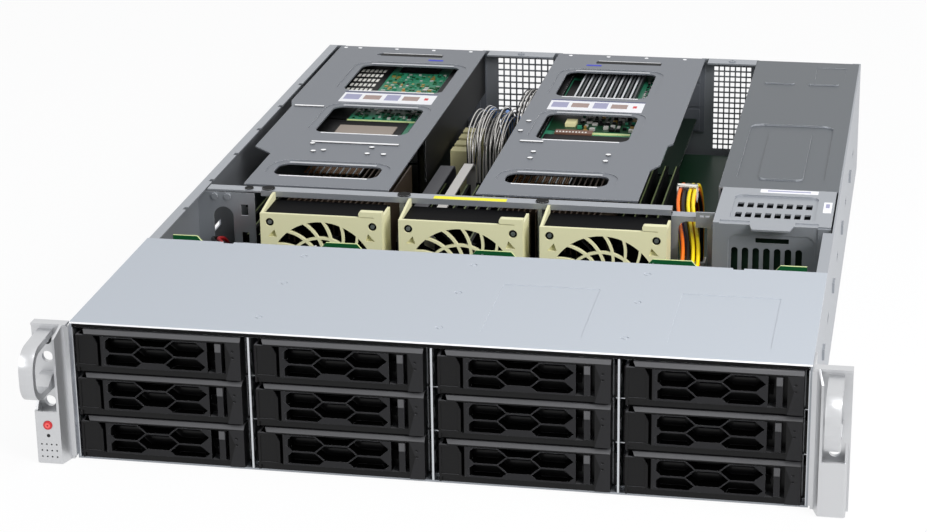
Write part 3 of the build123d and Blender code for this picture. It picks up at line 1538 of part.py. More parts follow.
def power_wires():
    """The bundle that arches up behind the gate, passes it and drops to the backplane, and its plug."""
    leads = []
    low = board_top + plug_height
    columns_half = power_wire_step * (power_wire_columns - 1) / 2
    for row in range(power_wire_rows):
        for column in range(power_wire_columns):
            s = column * power_wire_step
            r = row * power_wire_drop
            end_x = power_plug_x + columns_half - s
            end_z = power_plug_z + power_wire_drop - r
            points = [(121.0 - s, front + 366 - r, low), (121.0 - s, front + 366 - r, 38),
                      (121.0 - s, front + 361 - r, 61 - r / 2), (120.0 - s, front + 346 - r / 2, 79 - r),
                      (119.5 - s, front + 322, 83.5 - r), (120.0 - s, front + 298, 80 - r * 1.3),
                      (124.0 - s, front + 277, 74 - r * 1.7), (129.0 - s, front + 256, 64 - r * 1.8),
                      (130.0 - s, front + 234, 53 - r * 1.4), (127.5 - s, front + 212, 44 - r),
                      (end_x, front + 194, end_z), (end_x, front_plug_y, end_z)]
            leads.append(wire(points, f"power wire {row} {column}"))
    reach = wire_thickness / 2 + plug_edge
    rear_y = front + 366
    plug = between(121.0 - 2 * columns_half - reach, 121.0 + reach,
                   rear_y - power_wire_drop * (power_wire_rows - 1) - reach, rear_y + reach, board_top, low)
    return leads + [plug]


def signal_wires():
    """Two leads from the backplane through the arch beside the first fan to the main board."""
    leads = []
    for index in range(2):
        side = index * signal_wire_step
        points = [(signal_plug_x - side, front_plug_y, signal_plug_z),
                  (signal_plug_x - side, front + 200, signal_plug_z),
                  (-196.5 - side, front + 230, 62), (-198.5 - side, front + 260, 52),
                  (-202.0 - side, front + 284, 32), (-204.5 - side, front + 307, 13),
                  (-204.5 - side, front + 330, 13)]
        leads.append(wire(points, f"signal wire {index}"))
    end_y = front + 330
    plug = between(-204.5 - signal_wire_step - plug_edge, -204.5 + plug_edge, end_y, end_y + plug_depth,
                   board_top, board_top + plug_height)
    return leads + [plug]


def ribbons():
    """Flat cables over the memory and in arches behind it, each with a plug at both ends."""
    pieces = []
    low = board_top + ribbon_plug_height
    for left, width, start_y, end_y, deck, bend in ribbon_routes:
        ends = (front + start_y, front + end_y)
        points = [(left, ends[0], low), (left, ends[0], deck), (left, ends[1], deck), (left, ends[1], low)]
        path = FilletPolyline(*points, radius=bend)
        section = Plane(origin=path @ 0, x_dir=(1, 0, 0), z_dir=path % 0) * Rectangle(width, ribbon_thickness)
        strip = sweep(section, path=path)
        print("ribbon length", round(path.length, 1),
              "volume share", round(strip.volume / (path.length * width * ribbon_thickness), 4))
        pieces.append(Pos(width / 2, 0, 0) * strip)
        for y in ends:
            pieces.append(between(left - ribbon_plug_edge, left + width + ribbon_plug_edge,
                                  y - ribbon_plug_depth / 2, y + ribbon_plug_depth / 2, board_top, low))
    return pieces


os.makedirs("parts", exist_ok=True)
save("chassis_tub", chassis_tub())
save("front_cover", front_cover())
save("drive_cage", *drive_cage())
save("backplane", *backplane())
save("rear_panel", *rear_panel())
save("cable_harness", *power_wires(), *signal_wires(), *ribbons())
save("rack_ears", control_ear(), *control_board(), ear_body(1))
save("power_button", panel_button(power_height, power_radius, power_proud))
save("reset_button", panel_button(reset_height, reset_radius, -slide_gap))

bezel_shape = bezel()
lever_shape = lever()
button_shape = release_button()
tray_shape = tray()
drive_shape = drive()
for row in range(rows):
    for column in range(columns):
        number = row * columns + column + 1
        corner = Pos(column_centre(column) - bezel_width / 2, 0, row_base(row) + bezel_rise)
        save(f"drive_carrier_{number:02d}", corner * bezel_shape, corner * tray_shape, corner * drive_shape)
        save(f"carrier_lever_{number:02d}", corner * lever_shape)
        save(f"release_button_{number:02d}", corner * button_shape)

swirl = guard_sketch()
for index in range(fan_count):
    centre = fan_centre(index)
    save(f"fan_module_{index + 1}", fan_holder(centre, swirl), fan_frame(centre))
    save(f"fan_rotor_{index + 1}", fan_rotor(centre))
save("fan_wall", *fan_wall())

save("main_board", *main_board())
save("riser_left",
     riser_bracket(left_riser_left, left_riser_width, front + left_riser_front, left_outline_shares,
                   left_window_shares, left_ridge_shares, left_bump_shares, 1),
     *riser_cards(left_riser_left, left_riser_width, left_riser_board, -1))
save("riser_right",
     riser_bracket(right_riser_left, right_riser_width, front + right_riser_front, right_outline_shares,
                   right_window_shares, right_ridge_shares, right_bump_shares, -1),
     *riser_cards(right_riser_left, right_riser_width, right_riser_board, 1))

save("psu_cage", psu_cage(), psu_guard(), *distribution_board())
for index in range(2):
    save(f"power_supply_{index + 1}", power_supply(index))
    save(f"psu_latch_{index + 1}", psu_latch(index))
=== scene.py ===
"""The looks of a two-unit rack server: finishes, small parts, wires, light and camera."""
import math
import random

import bpy
from mathutils import Matrix, Vector


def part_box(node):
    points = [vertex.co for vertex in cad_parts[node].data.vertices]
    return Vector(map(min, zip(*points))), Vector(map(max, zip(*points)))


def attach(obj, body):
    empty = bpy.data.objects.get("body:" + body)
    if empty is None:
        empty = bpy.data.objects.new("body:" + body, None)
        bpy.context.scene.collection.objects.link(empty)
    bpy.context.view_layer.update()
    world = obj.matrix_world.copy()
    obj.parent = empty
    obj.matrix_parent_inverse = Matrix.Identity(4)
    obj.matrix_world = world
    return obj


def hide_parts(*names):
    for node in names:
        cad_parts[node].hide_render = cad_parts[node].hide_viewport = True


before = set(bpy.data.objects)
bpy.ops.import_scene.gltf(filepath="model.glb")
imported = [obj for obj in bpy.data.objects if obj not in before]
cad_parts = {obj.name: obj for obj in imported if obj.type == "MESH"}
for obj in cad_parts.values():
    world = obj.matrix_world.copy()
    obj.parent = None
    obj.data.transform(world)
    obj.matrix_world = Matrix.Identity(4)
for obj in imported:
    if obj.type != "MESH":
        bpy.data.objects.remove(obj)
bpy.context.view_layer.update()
random.seed(7)
mm = 0.001

# Places that the small parts follow, in metres
stop_height = 0.8 * mm
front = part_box("front_cover")[0].y
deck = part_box("fan_wall")[1].z - stop_height
deck_sheet = 1.2 * mm
board_top = 7.6 * mm
skin = 0.15 * mm

# Route of the wires and ribbons, in millimetres
wire_thickness = 2.6
wire_columns = 4
wire_rows = 3
wire_step = 3.4
wire_drop = 3.2
signal_step = 4.0
lead_thickness = 1.0
plug_top = 16.6

# Ribbons, in millimetres: left edge, width, near end and far end
dark_band = (-81.0, 10.0, 276.6, 437.0)
light_band = (-62.0, 7.0, 276.6, 432.0)
wide_arch = (-66.0, 26.0, 455.0, 540.0)
narrow_arch = (-38.0, 11.0, 500.0, 590.0)

# Sizes of the materials' grain
fine_grain = 0.4 * mm
plastic_grain = 0.35 * mm
moulded_grain = 0.5 * mm
board_grain = 0.8 * mm

# A face looks along an axis where its normal's share on that axis is above this
steep = 0.5


def linear(text):
    """A colour written as six hexadecimal digits, as linear values by the sRGB curve."""
    values = [int(text[index:index + 2], 16) / 255 for index in (0, 2, 4)]
    return [value / 12.92 if value < 0.04045 else ((value + 0.055) / 1.055) ** 2.4 for value in values]


def finish(name, colour, metallic, roughness, specular=0.5, grain=fine_grain, strength=0.04,
           stretch=(1, 1, 1)):
    """A material with a fine bumpy grain, which is longer along an axis whose stretch is below one."""
    made = bpy.data.materials.new(name)
    made.use_nodes = True
    made.diffuse_color = (*linear(colour), 1)
    tree = made.node_tree
    shader = tree.nodes["Principled BSDF"]
    shader.inputs["Base Color"].default_value = (*linear(colour), 1)
    shader.inputs["Metallic"].default_value = metallic
    shader.inputs["Roughness"].default_value = roughness
    shader.inputs["Specular IOR Level"].default_value = specular
    place = tree.nodes.new("ShaderNodeTexCoord")
    scale = tree.nodes.new("ShaderNodeMapping")
    scale.inputs["Scale"].default_value = stretch
    noise = tree.nodes.new("ShaderNodeTexNoise")
    noise.inputs["Scale"].default_value = 1 / grain
    noise.inputs["Detail"].default_value = 3
    bump = tree.nodes.new("ShaderNodeBump")
    bump.inputs["Strength"].default_value = strength
    bump.inputs["Distance"].default_value = 0.1 * mm
    tree.links.new(place.outputs["Object"], scale.inputs["Vector"])
    tree.links.new(scale.outputs["Vector"], noise.inputs["Vector"])
    tree.links.new(noise.outputs["Fac"], bump.inputs["Height"])
    tree.links.new(bump.outputs["Normal"], shader.inputs["Normal"])
    return made


# Finishes: name, colour as written in an image, metallic share and roughness
steel = finish("steel", "a0a4aa", 0.6, 0.38, strength=0.05)
cover_steel = finish("cover_steel", "b3b9c1", 0.25, 0.45, specular=0.2, strength=0.05, stretch=(1, 0.05, 1))
riser_steel = finish("riser_steel", "6f737a", 0.3, 0.4, specular=0.3, strength=0.05)
cage_steel = finish("cage_steel", "555a5f", 0.3, 0.4, specular=0.3, strength=0.05)
bright_steel = finish("bright_steel", "cdd0d4", 0.9, 0.30)
# Near white for softened edges, window lips, raised tops and screw heads: a painted highlight.
highlight_white = finish("highlight_white", "fafafb", 0.1, 0.30)
dark_steel = finish("dark_steel", "2c2e31", 0.6, 0.45, strength=0.05)
ear_metal = finish("ear_metal", "cbccce", 0.85, 0.34, strength=0.05)
carrier_black = finish("carrier_black", "0a0a0b", 0.0, 0.35, specular=0.22, grain=plastic_grain,
                       strength=0.10)
# Lighter grey for the carriers' upward faces: a painted highlight of the light from above.
carrier_top_highlight = finish("carrier_top_highlight", "4a4a4c", 0.0, 0.35, specular=0.45, grain=plastic_grain, strength=0.10)
led_black = finish("led_black", "1b1b1d", 0.0, 0.35, specular=0.25, grain=plastic_grain, strength=0.08)
# Grey for the softened edges of the black carriers and buttons: a painted highlight.
carrier_edge_highlight = finish("carrier_edge_highlight", "38383a", 0.0, 0.30)
# Light grey for the levers' softened edges: a painted highlight.
lever_edge_highlight = finish("lever_edge_highlight", "7a7a7d", 0.0, 0.30)
lever_black = finish("lever_black", "1d1d1f", 0.0, 0.33, specular=0.2, grain=plastic_grain, strength=0.08)
# Near black for the insides of the levers' cells: painted shade in the recesses.
cell_shade = finish("cell_shade", "010101", 0.0, 0.6, specular=0.03)
button_black = finish("button_black", "1a1a1c", 0.0, 0.35, specular=0.3)
button_grey = finish("button_grey", "4a4a4c", 0.0, 0.35)
fan_cream = finish("fan_cream", "dfdcb4", 0.0, 0.45, specular=0.3, grain=moulded_grain, strength=0.05)
fan_black = finish("fan_black", "050506", 0.0, 0.55, specular=0.03, grain=moulded_grain, strength=0.08)
board_green = finish("board_green", "12331f", 0.0, 0.4, specular=0.2, grain=board_grain, strength=0.05)
backplane_green = finish("backplane_green", "12502b", 0.0, 0.4, specular=0.2, grain=board_grain,
                         strength=0.05)
card_green = finish("card_green", "2c7d5e", 0.0, 0.4, specular=0.3, grain=board_grain, strength=0.05)
card_dark = finish("card_dark", "16261c", 0.0, 0.4, specular=0.2, grain=board_grain, strength=0.05)
board_edge = finish("board_edge", "c3cf92", 0.0, 0.5)
memory_edge = finish("memory_edge", "7d8a5e", 0.0, 0.5)
gold = finish("gold", "c9a25a", 0.8, 0.35)
copper = finish("copper", "b98a5e", 0.8, 0.4)
socket_black = finish("socket_black", "0b0b0c", 0.0, 0.5, specular=0.10, strength=0.06)
socket_cream = finish("socket_cream", "ded7a6", 0.0, 0.5, strength=0.05)
socket_white = finish("socket_white", "e4e3dc", 0.0, 0.5)
socket_blue = finish("socket_blue", "6b98de", 0.0, 0.45, strength=0.05)
socket_taupe = finish("socket_taupe", "8f8378", 0.0, 0.5)
strip_brown = finish("strip_brown", "6b4a3c", 0.0, 0.5)
fin_metal = finish("fin_metal", "6a5a4c", 0.85, 0.4, strength=0.05)
label_white = finish("label_white", "f1f1f4", 0.0, 0.5)
label_lilac = finish("label_lilac", "9a9ab8", 0.0, 0.5)
label_brown = finish("label_brown", "9c857e", 0.0, 0.5)
label_line = finish("label_line", "2b3566", 0.0, 0.5)
label_red = finish("label_red", "c8262c", 0.0, 0.5)
mark_blue = finish("mark_blue", "1b2fc0", 0.0, 0.5)
strip_yellow = finish("strip_yellow", "f2ea1a", 0.0, 0.5)
wire_yellow = finish("wire_yellow", "f0d400", 0.0, 0.4)
wire_orange = finish("wire_orange", "f07010", 0.0, 0.4)
wire_red = finish("wire_red", "a30f16", 0.0, 0.4)
wire_wine = finish("wire_wine", "5d0d1c", 0.0, 0.4)
wire_blue = finish("wire_blue", "12318f", 0.0, 0.4)
wire_black = finish("wire_black", "0b0b0c", 0.0, 0.4, specular=0.25)
wire_silver = finish("wire_silver", "c9c6c2", 0.5, 0.35)
wire_grey = finish("wire_grey", "4c4c50", 0.0, 0.5)
red_plastic = finish("red_plastic", "c2262a", 0.0, 0.35)
red_light = finish("red_light", "f0605c", 0.0, 0.4)
rubber_black = finish("rubber_black", "101010", 0.0, 0.7, specular=0.15)
drive_metal = finish("drive_metal", "9da0a3", 0.6, 0.4, strength=0.05)


def soften(thing, width, rim=-1):
    """Rounds a part's sharp edges by a small width, with the material of slot rim if one is given."""
    weld = thing.modifiers.new("weld", "WELD")
    weld.merge_threshold = 0.002 * mm
    bevel = thing.modifiers.new("bevel", "BEVEL")
    bevel.width = width
    bevel.segments = 2
    bevel.limit_method = "ANGLE"
    bevel.angle_limit = math.radians(40)
    bevel.use_clamp_overlap = True
    bevel.harden_normals = True
    bevel.material = rim


def dress(name, main, *parts, edge=0.0, rim=None):
    """Gives a CAD node its main material, and others to the faces whose centre and normal pass their tests.

    The last test that a face passes counts. The rim is the material of the softened edges; where it is
    lighter than the part, it paints a highlight along them.
    """
    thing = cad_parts[name]
    thing.data.materials.clear()
    for made in (main, *[made for made, _ in parts]):
        thing.data.materials.append(made)
    for face in thing.data.polygons:
        face.material_index = 0
        for index, (_, test) in enumerate(parts, start=1):
            if test(face.center, face.normal):
                face.material_index = index
    if rim:
        thing.data.materials.append(rim)
    if edge:
        soften(thing, edge, rim=len(parts) + 1 if rim else -1)


def spot(x, y, z):
    """A place in metres, from millimetres across, behind the front plane and above the floor."""
    return Vector((x * mm, front + y * mm, z * mm))


def within(c, x0, x1, y0, y1):
    """True where a face's centre lies in a rectangle seen from above, in the same millimetres."""
    return x0 * mm < c.x < x1 * mm and y0 * mm < c.y - front < y1 * mm


def finish_piece(name, data, body, edge=0.0):
    """Adds a piece to the scene, that moves with one body."""
    thing = bpy.data.objects.new(name, data)
    bpy.context.collection.objects.link(thing)
    if edge:
        soften(thing, edge)
    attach(thing, body)
    return thing


def mesh_piece(name, vertices, faces, finishes, body, edge=0.0):
    """Adds a mesh as a piece, with a material for each face."""
    mesh = bpy.data.meshes.new(name)
    mesh.from_pydata(vertices, [], faces)
    used = []
    for face, made in zip(mesh.polygons, finishes):
        if made not in used:
            used.append(made)
            mesh.materials.append(made)
        face.material_index = used.index(made)
    return finish_piece(name, mesh, body, edge)


def slab(area, low, high, made):
    """A block over an area given as left, right, near and far, between two heights, all in millimetres."""
    x0, x1, y0, y1 = area
    return spot(x0, y0, low), spot(x1, y1, high), made


def block_piece(name, blocks, body, edge=0.0):
    """One mesh made of boxes: two corners and a material for each."""
    sides = ((0, 2, 3, 1), (4, 5, 7, 6), (0, 1, 5, 4), (1, 3, 7, 5), (3, 2, 6, 7), (2, 0, 4, 6))
    vertices = []
    faces = []
    finishes = []
    for low, high, made in blocks:
        start = len(vertices)
        vertices += [(x, y, z)
                     for z in (low[2], high[2]) for y in (low[1], high[1]) for x in (low[0], high[0])]
        faces += [[start + corner for corner in side] for side in sides]
        finishes += [made] * len(sides)
    mesh_piece(name, vertices, faces, finishes, body, edge)


def disc_piece(name, discs, body, sides=24):
    """One mesh made of short round bars: base centre, axis, radius, length and material for each."""
    vertices = []
    faces = []
    finishes = []
    for centre, axis, radius, length, made in discs:
        start = len(vertices)
        end = start + sides
        turn = Vector(axis).to_track_quat("Z", "Y")
        for z in (0, length):
            for side in range(sides):
                angle = math.tau * side / sides
                rim = Vector((radius * math.cos(angle), radius * math.sin(angle), z))
                vertices.append(centre + turn @ rim)
        for side in range(sides):
            after = (side + 1) % sides
            faces.append([start + side, start + after, end + after, end + side])
        faces.append(list(range(end - 1, start - 1, -1)))
        faces.append(list(range(end, end + sides)))
        finishes += [made] * (sides + 2)
    thing = mesh_piece(name, vertices, faces, finishes, body)
    for face in thing.data.polygons:
        face.use_smooth = len(face.vertices) == 4


# Finishes of the CAD nodes
def dress_carriers():
    """The carriers with their light strip, lighter tops as a painted highlight, painted highlights on their
    edges and tray, the levers with painted shade in their cells and painted highlights on their edges, and
    the buttons' caps.
    """
    bezel_depth = 11.2 * mm
    led_width = 9.3 * mm
    chin = 3.8 * mm
    cap = 6.0 * mm
    cell_depth = 0.4 * mm
    for number in range(1, 13):
        name = f"{number:02d}"
        low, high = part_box("drive_carrier_" + name)
        lever_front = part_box("carrier_lever_" + name)[0].y
        cap_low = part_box("release_button_" + name)[1].z - cap
        tray_start = low.y + bezel_depth

        def in_light_strip(c, n):
            return n.y < -steep and c.x > high.x - led_width and c.z > low.z + chin and c.y < tray_start

        def in_cell(c, n):
            return c.y > lever_front + cell_depth

        # The upward faces are lighter and the softened edges grey: painted highlights.
        dress("drive_carrier_" + name, carrier_black,
              (led_black, in_light_strip),
              (carrier_top_highlight, lambda c, n: n.z > steep and c.y < tray_start),
              (drive_metal, lambda c, n: c.y > tray_start), edge=0.25 * mm, rim=carrier_edge_highlight)
        # The cells' insides are near black, a painted shade; the softened edges are lighter, a painted
        # highlight.
        dress("carrier_lever_" + name, lever_black, (cell_shade, in_cell), edge=0.3 * mm, rim=lever_edge_highlight)
        dress("release_button_" + name, lever_black,
              (button_grey, lambda c, n: c.z > cap_low), edge=0.2 * mm, rim=carrier_edge_highlight)


def dress_chassis():
    """The sheet parts, the ears with their buttons, the fan wall's rubber parts and the backplane."""
    cover_face = front + 1 * mm
    post = spot(-181.7, 265.15, 80)
    post_reach = 3.2 * mm
    stops_start = deck + 0.1 * mm
    control_board = (-239, -224, -1.6, -0.2)
    connectors_end = front + 163.9 * mm
    sockets_start = front + 166 * mm
    bare_edge_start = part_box("backplane")[1].z - 5 * mm

    def on_post(c, n):
        return c.z < deck - deck_sheet and math.hypot(c.x - post.x, c.y - post.y) < post_reach

    dress("chassis_tub", steel, edge=0.2 * mm)
    # The cover's softened edges get the near-white finish: a painted highlight.
    dress("front_cover", cover_steel,
          (socket_black, lambda c, n: n.y < -steep and c.y < cover_face), edge=0.25 * mm, rim=highlight_white)
    dress("drive_cage", bright_steel)
    dress("rear_panel", steel)
    # The bar's softened edges get the near-white finish: a painted highlight.
    dress("fan_wall", steel,
          (rubber_black, lambda c, n: c.z > stops_start),
          (rubber_black, on_post), edge=0.35 * mm, rim=highlight_white)
    dress("rack_ears", ear_metal,
          (backplane_green, lambda c, n: within(c, *control_board) and 1.9 * mm < c.z < 30 * mm),
          edge=0.3 * mm)
    dress("power_button", red_plastic, edge=0.2 * mm)
    dress("reset_button", button_black)
    dress("backplane", backplane_green,
          (board_edge, lambda c, n: n.z > steep and c.z > bare_edge_start and c.y < sockets_start),
          (socket_white, lambda c, n: c.y > sockets_start),
          (socket_black, lambda c, n: c.y < connectors_end))


def dress_fans():
    """The cream holders with their guards, the dark fan frames inside and the dark rotors."""
    holder_wall = 1.95 * mm
    guard_depth = 2.51 * mm
    frame_height = 80.05 * mm
    for index in (1, 2, 3):
        low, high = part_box(f"fan_module_{index}")
        middle = (low.x + high.x) / 2
        inner = (high.x - low.x) / 2 - holder_wall

        def in_frame(c, n):
            return c.y > low.y + guard_depth and abs(c.x - middle) < inner and c.z < low.z + frame_height

        dress(f"fan_module_{index}", fan_cream, (fan_black, in_frame), edge=0.3 * mm)
        dress(f"fan_rotor_{index}", fan_black)


def dress_boards():
    """The main board and what stands on it, and the cage and supplies beside it."""
    above = board_top + 0.01 * mm
    left_sink = (-166, -94, 298, 394)
    right_sink = (-14, 58, 298, 394)
    cream_sockets = (-84, -66, 475, 540)
    blue_socket = (-59, -31, 555, 563)
    ports_start = front + 629 * mm
    dress("main_board", board_green,
          (socket_black, lambda c, n: c.z > above),
          (fin_metal, lambda c, n: c.z > above and (within(c, *left_sink) or within(c, *right_sink))),
          (socket_cream, lambda c, n: c.z > above and within(c, *cream_sockets)),
          (socket_blue, lambda c, n: c.z > above and within(c, *blue_socket)),
          (bright_steel, lambda c, n: c.z > above and c.y > ports_start))
    guard_board = (140.5, 215, 248, 252)
    guard_board_top = 79 * mm
    cage_front = front + 318 * mm
    inlet = (180, 206, 634, 647)
    # The cage's softened edges get the near-white finish: a painted highlight.
    dress("psu_cage", steel,
          (card_dark, lambda c, n: within(c, *guard_board) and c.z < guard_board_top),
          (cage_steel, lambda c, n: c.y > cage_front and n.z > steep), edge=0.35 * mm, rim=highlight_white)
    for index in (1, 2):
        dress(f"power_supply_{index}", bright_steel,
              (socket_black, lambda c, n: within(c, *inlet) and abs(n.y) < steep))
        dress(f"psu_latch_{index}", red_plastic)


def dress_risers():
    """The risers' steel, with their cards, card sinks and sockets below the deck, painted highlights on the
    tops of raised parts and on the softened edges, and painted shade on the raised parts' sides.
    """
    below = deck - 2.2 * mm
    raised = deck + 0.05 * mm
    low_card = 60 * mm
    slot_top = 20 * mm
    card_half = 30 * mm
    side_wall = 3 * mm
    rear_wall = 2.3 * mm
    for name in ("riser_left", "riser_right"):
        low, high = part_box(name)
        rear = high.y - rear_wall
        middle = (low.x + high.x) / 2

        def is_card(c, n):
            return c.z < below and c.y < rear and abs(n.z) > steep and abs(c.x - middle) < card_half

        def is_low_card(c, n):
            return c.z < low_card and is_card(c, n)

        def is_sink(c, n):
            between_walls = low.x + side_wall < c.x < high.x - side_wall
            return c.z < below and c.y < rear and abs(n.z) < steep and between_walls

        def is_socket(c, n):
            return c.z < below and c.y < rear and abs(c.x - middle) > card_half and c.z > slot_top

        # Raised tops in the near-white finish are painted highlights, their sides in dark steel are painted
        # shade, and the softened edges are a painted highlight.
        dress(name, riser_steel,
              (card_green, is_card),
              (card_dark, is_low_card),
              (dark_steel, is_sink),
              (socket_black, is_socket),
              (highlight_white, lambda c, n: c.z > raised and n.z > steep),
              (dark_steel, lambda c, n: c.z > raised and n.z < steep), edge=0.3 * mm, rim=highlight_white)


# Wires and ribbons
def power_route(row, column):
    """The points of part.py's route for one power wire."""
    s = column * wire_step
    r = row * wire_drop
    end_x = 119.1 + wire_step * (wire_columns - 1) / 2 - s
    end_z = 39.0 + wire_drop - r
    return [(121.0 - s, 366 - r, plug_top), (121.0 - s, 366 - r, 38), (121.0 - s, 361 - r, 61 - r / 2),
            (120.0 - s, 346 - r / 2, 79 - r), (119.5 - s, 322, 83.5 - r), (120.0 - s, 298, 80 - r * 1.3),
            (124.0 - s, 277, 74 - r * 1.7), (129.0 - s, 256, 64 - r * 1.8), (130.0 - s, 234, 53 - r * 1.4),
            (127.5 - s, 212, 44 - r), (end_x, 194, end_z), (end_x, 173.6, end_z)]


def signal_route(index):
    """The points of part.py's route for one signal wire."""
    side = index * signal_step
    x = -180.664 - side
    return [(x, 173.6, 68.5), (x, 200, 68.5), (-196.5 - side, 230, 62), (-198.5 - side, 260, 52),
            (-202.0 - side, 284, 32), (-204.5 - side, 307, 13), (-204.5 - side, 330, 13)]


def arch_route(x, start, end, top, lean):
    """The points of one fine lead in an arched ribbon, which leans sideways at its top."""
    knee = plug_top + 0.6 * (top - plug_top)
    shoulder = 6
    drop = 8
    return [(x, start, plug_top), (x, start, knee), (x + lean, start + shoulder, top - drop),
            (x + lean, (start + end) / 2, top), (x + lean, end - shoulder, top - drop), (x, end, knee),
            (x, end, plug_top)]


def harness():
    """All round leads as one curve object, each with its own jacket."""
    data = bpy.data.curves.new("harness", "CURVE")
    data.dimensions = "3D"
    data.bevel_depth = wire_thickness / 2 * mm
    data.bevel_resolution = 3
    data.resolution_u = 6
    jackets = (wire_yellow, wire_orange, wire_red, wire_wine, wire_blue, wire_black, wire_silver)
    for made in jackets:
        data.materials.append(made)
    colours = ((wire_yellow, wire_yellow, wire_black, wire_orange),
               (wire_orange, wire_yellow, wire_blue, wire_wine),
               (wire_black, wire_red, wire_wine, wire_yellow))
    runs = [(power_route(row, column), colours[row][column], 1.0)
            for row in range(wire_rows) for column in range(wire_columns)]
    runs += [(signal_route(0), wire_red, 1.0), (signal_route(1), wire_black, 1.0)]
    fine = lead_thickness / wire_thickness
    inset = 0.6
    # Leads, pitch, which leads are black, height with its lowest and highest change, and sideways lean
    arches = ((wide_arch, 30, 0.86, 3, 80.0, -6.0, 3.0, 3.0),
              (narrow_arch, 10, 1.08, 2, 82.0, -1.5, 1.0, 0.8))
    for (left, _, start, end), leads, pitch, black_every, height, lowest, highest, lean in arches:
        for index in range(leads):
            top = height + random.uniform(lowest, highest)
            made = wire_silver if index % black_every else wire_black
            points = arch_route(left + inset + index * pitch, start, end, top, random.uniform(-lean, lean))
            runs.append((points, made, fine))
    for points, made, share in runs:
        spline = data.splines.new("NURBS")
        spline.points.add(len(points) - 1)
        for point, place in zip(spline.points, points):
            point.co = (*spot(*place), 1)
            point.radius = share
        spline.order_u = 3
        spline.use_endpoint_u = True
        spline.material_index = jackets.index(made)
        spline.use_smooth = True
    thing = finish_piece("harness", data, "chassis")
    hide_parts("cable_harness")


def ribbon_piece(name, place, top, made):
    """A flat band that rises, runs to the rear and drops, with round bends."""
    left, width, start, end = place
    bend = 9.0
    bend_steps = 8
    half = 0.6
    profile = []
    for reach in (half, -half):
        radius = bend + reach
        side = [(start - reach, plug_top)]
        for centre_y, first in ((start + bend, 180), (end - bend, 90)):
            for step in range(bend_steps + 1):
                angle = math.radians(first - 90 * step / bend_steps)
                side.append((centre_y + radius * math.cos(angle), top - bend + radius * math.sin(angle)))
        side.append((end + reach, plug_top))
        profile.append(side)
    outer, inner = profile
    count = len(outer)
    across = 2 * count
    vertices = [spot(x, y, z) for x in (left, left + width) for y, z in outer + inner]
    faces = []
    for index in range(count - 1):
        for base in (0, count):
            near = base + index
            faces.append([near, near + 1, near + 1 + across, near + across])
        for base in (0, across):
            near = base + index
            faces.append([near, near + 1, near + 1 + count, near + count])
    mesh_piece(name, vertices, faces, [made] * len(faces), "chassis")


def plugs():
    """The plugs at the ends of the wires and ribbons, where part.py has them, and the bundles' ties."""
    low = board_top / mm
    blocks = [slab((108.0, 123.9, 357.0, 368.9), low, plug_top, socket_white),
              slab((-210.1, -202.9, 330, 342), low, plug_top, socket_white)]
    plug_half = 2.5
    plug_side = 1
    for left, width, start, end in (dark_band, light_band, wide_arch, narrow_arch):
        for y in (start, end):
            area = (left - plug_side, left + width + plug_side, y - plug_half, y + plug_half)
            blocks.append(slab(area, low, plug_top, socket_black))
    tie_left, tie_right, tie_near, tie_far = (107.4, 121.4, 317.5, 322.5)
    tie_low = 74.6
    tie_high = 85.9
    band = 1.0
    for x0, x1, z0, z1 in ((tie_left, tie_right, tie_high - band, tie_high),
                           (tie_left, tie_right, tie_low, tie_low + band),
                           (tie_left, tie_left + band, tie_low, tie_high),
                           (tie_right - band, tie_right, tie_low, tie_high)):
        blocks.append(slab((x0, x1, tie_near, tie_far), z0, z1, socket_white))
    blocks.append(slab((-64, -46, 532, 541), 64, 69, socket_blue))
    blocks.append(slab((-66, -40, 453, 457), 30, 36, socket_black))
    block_piece("plugs", blocks, "chassis", edge=0.3 * mm)


# Labels, strips and marks, all plain
def riser_label(name, area):
    """A white label with a thin line along its rear edge, four pale panels and a small dot."""
    x0, x1, y0, y1 = area
    width = x1 - x0
    depth = y1 - y0
    top = deck / mm
    high = top + skin / mm
    over = high + skin / mm
    # Shares of the label's width and depth
    shares = ((0.03, 0.20, 0.25, 0.75, label_lilac), (0.24, 0.42, 0.30, 0.70, label_brown),
              (0.47, 0.62, 0.25, 0.80, label_lilac), (0.66, 0.83, 0.30, 0.70, label_brown),
              (0.89, 0.93, 0.40, 0.60, label_red), (0.00, 1.00, 0.93, 1.00, label_line))
    blocks = [slab(area, top, high, label_white)]
    for left, right, near, far, made in shares:
        blocks.append(slab((x0 + left * width, x0 + right * width, y0 + near * depth, y0 + far * depth),
                           high, over, made))
    block_piece(name + "_label", blocks, name)


def riser_marks(name, grip, mark, screws):
    """A painted highlight along the rear edge of the grip slot, a black patch of painted shade at the slot,
    its blue mark, and the screws along the rear edge, whose near-white heads are painted highlights.
    """
    x0, x1, y = grip
    mark_x, mark_y = mark
    top = deck / mm
    high = top + skin / mm
    # The near-white strip is a painted highlight and the black patch is painted shade at the grip slot.
    blocks = [slab((x0, x1, y, y + 0.8), top, top + 0.3, highlight_white),
              slab((x0 - 1, x1 + 1, y - 6.5, y), top, high, socket_black),
              slab((mark_x, mark_x + 12, mark_y, mark_y + 3.4), top, high, mark_blue)]
    block_piece(name + "_grip_highlight_shade_and_mark", blocks, name)
    # Near-white screw heads: painted highlights.
    discs = [(spot(x, 641, top), (0, 0, 1), 1.6 * mm, 0.3 * mm, highlight_white) for x in screws]
    disc_piece(name + "_screws", discs, name, sides=12)


def window_lip_highlights(name, windows):
    """Painted highlights: light strips on the turned lips along the rear and front edge of each window."""
    step = deck / mm - 0.5
    high = step + 0.2
    inset = 6.0
    blocks = []
    for x0, x1, y0, y1 in windows:
        # Bright steel on the rear lips and the near-white finish on the front lips: painted highlights.
        blocks.append(slab((x0 + inset, x1 - inset, y1 + 0.2, y1 + 2.6), step, high, bright_steel))
        blocks.append(slab((x0 + inset, x1 - inset, y0 - 1.6, y0 - 0.2), step, high, highlight_white))
    block_piece(name + "_window_lip_highlights", blocks, name)


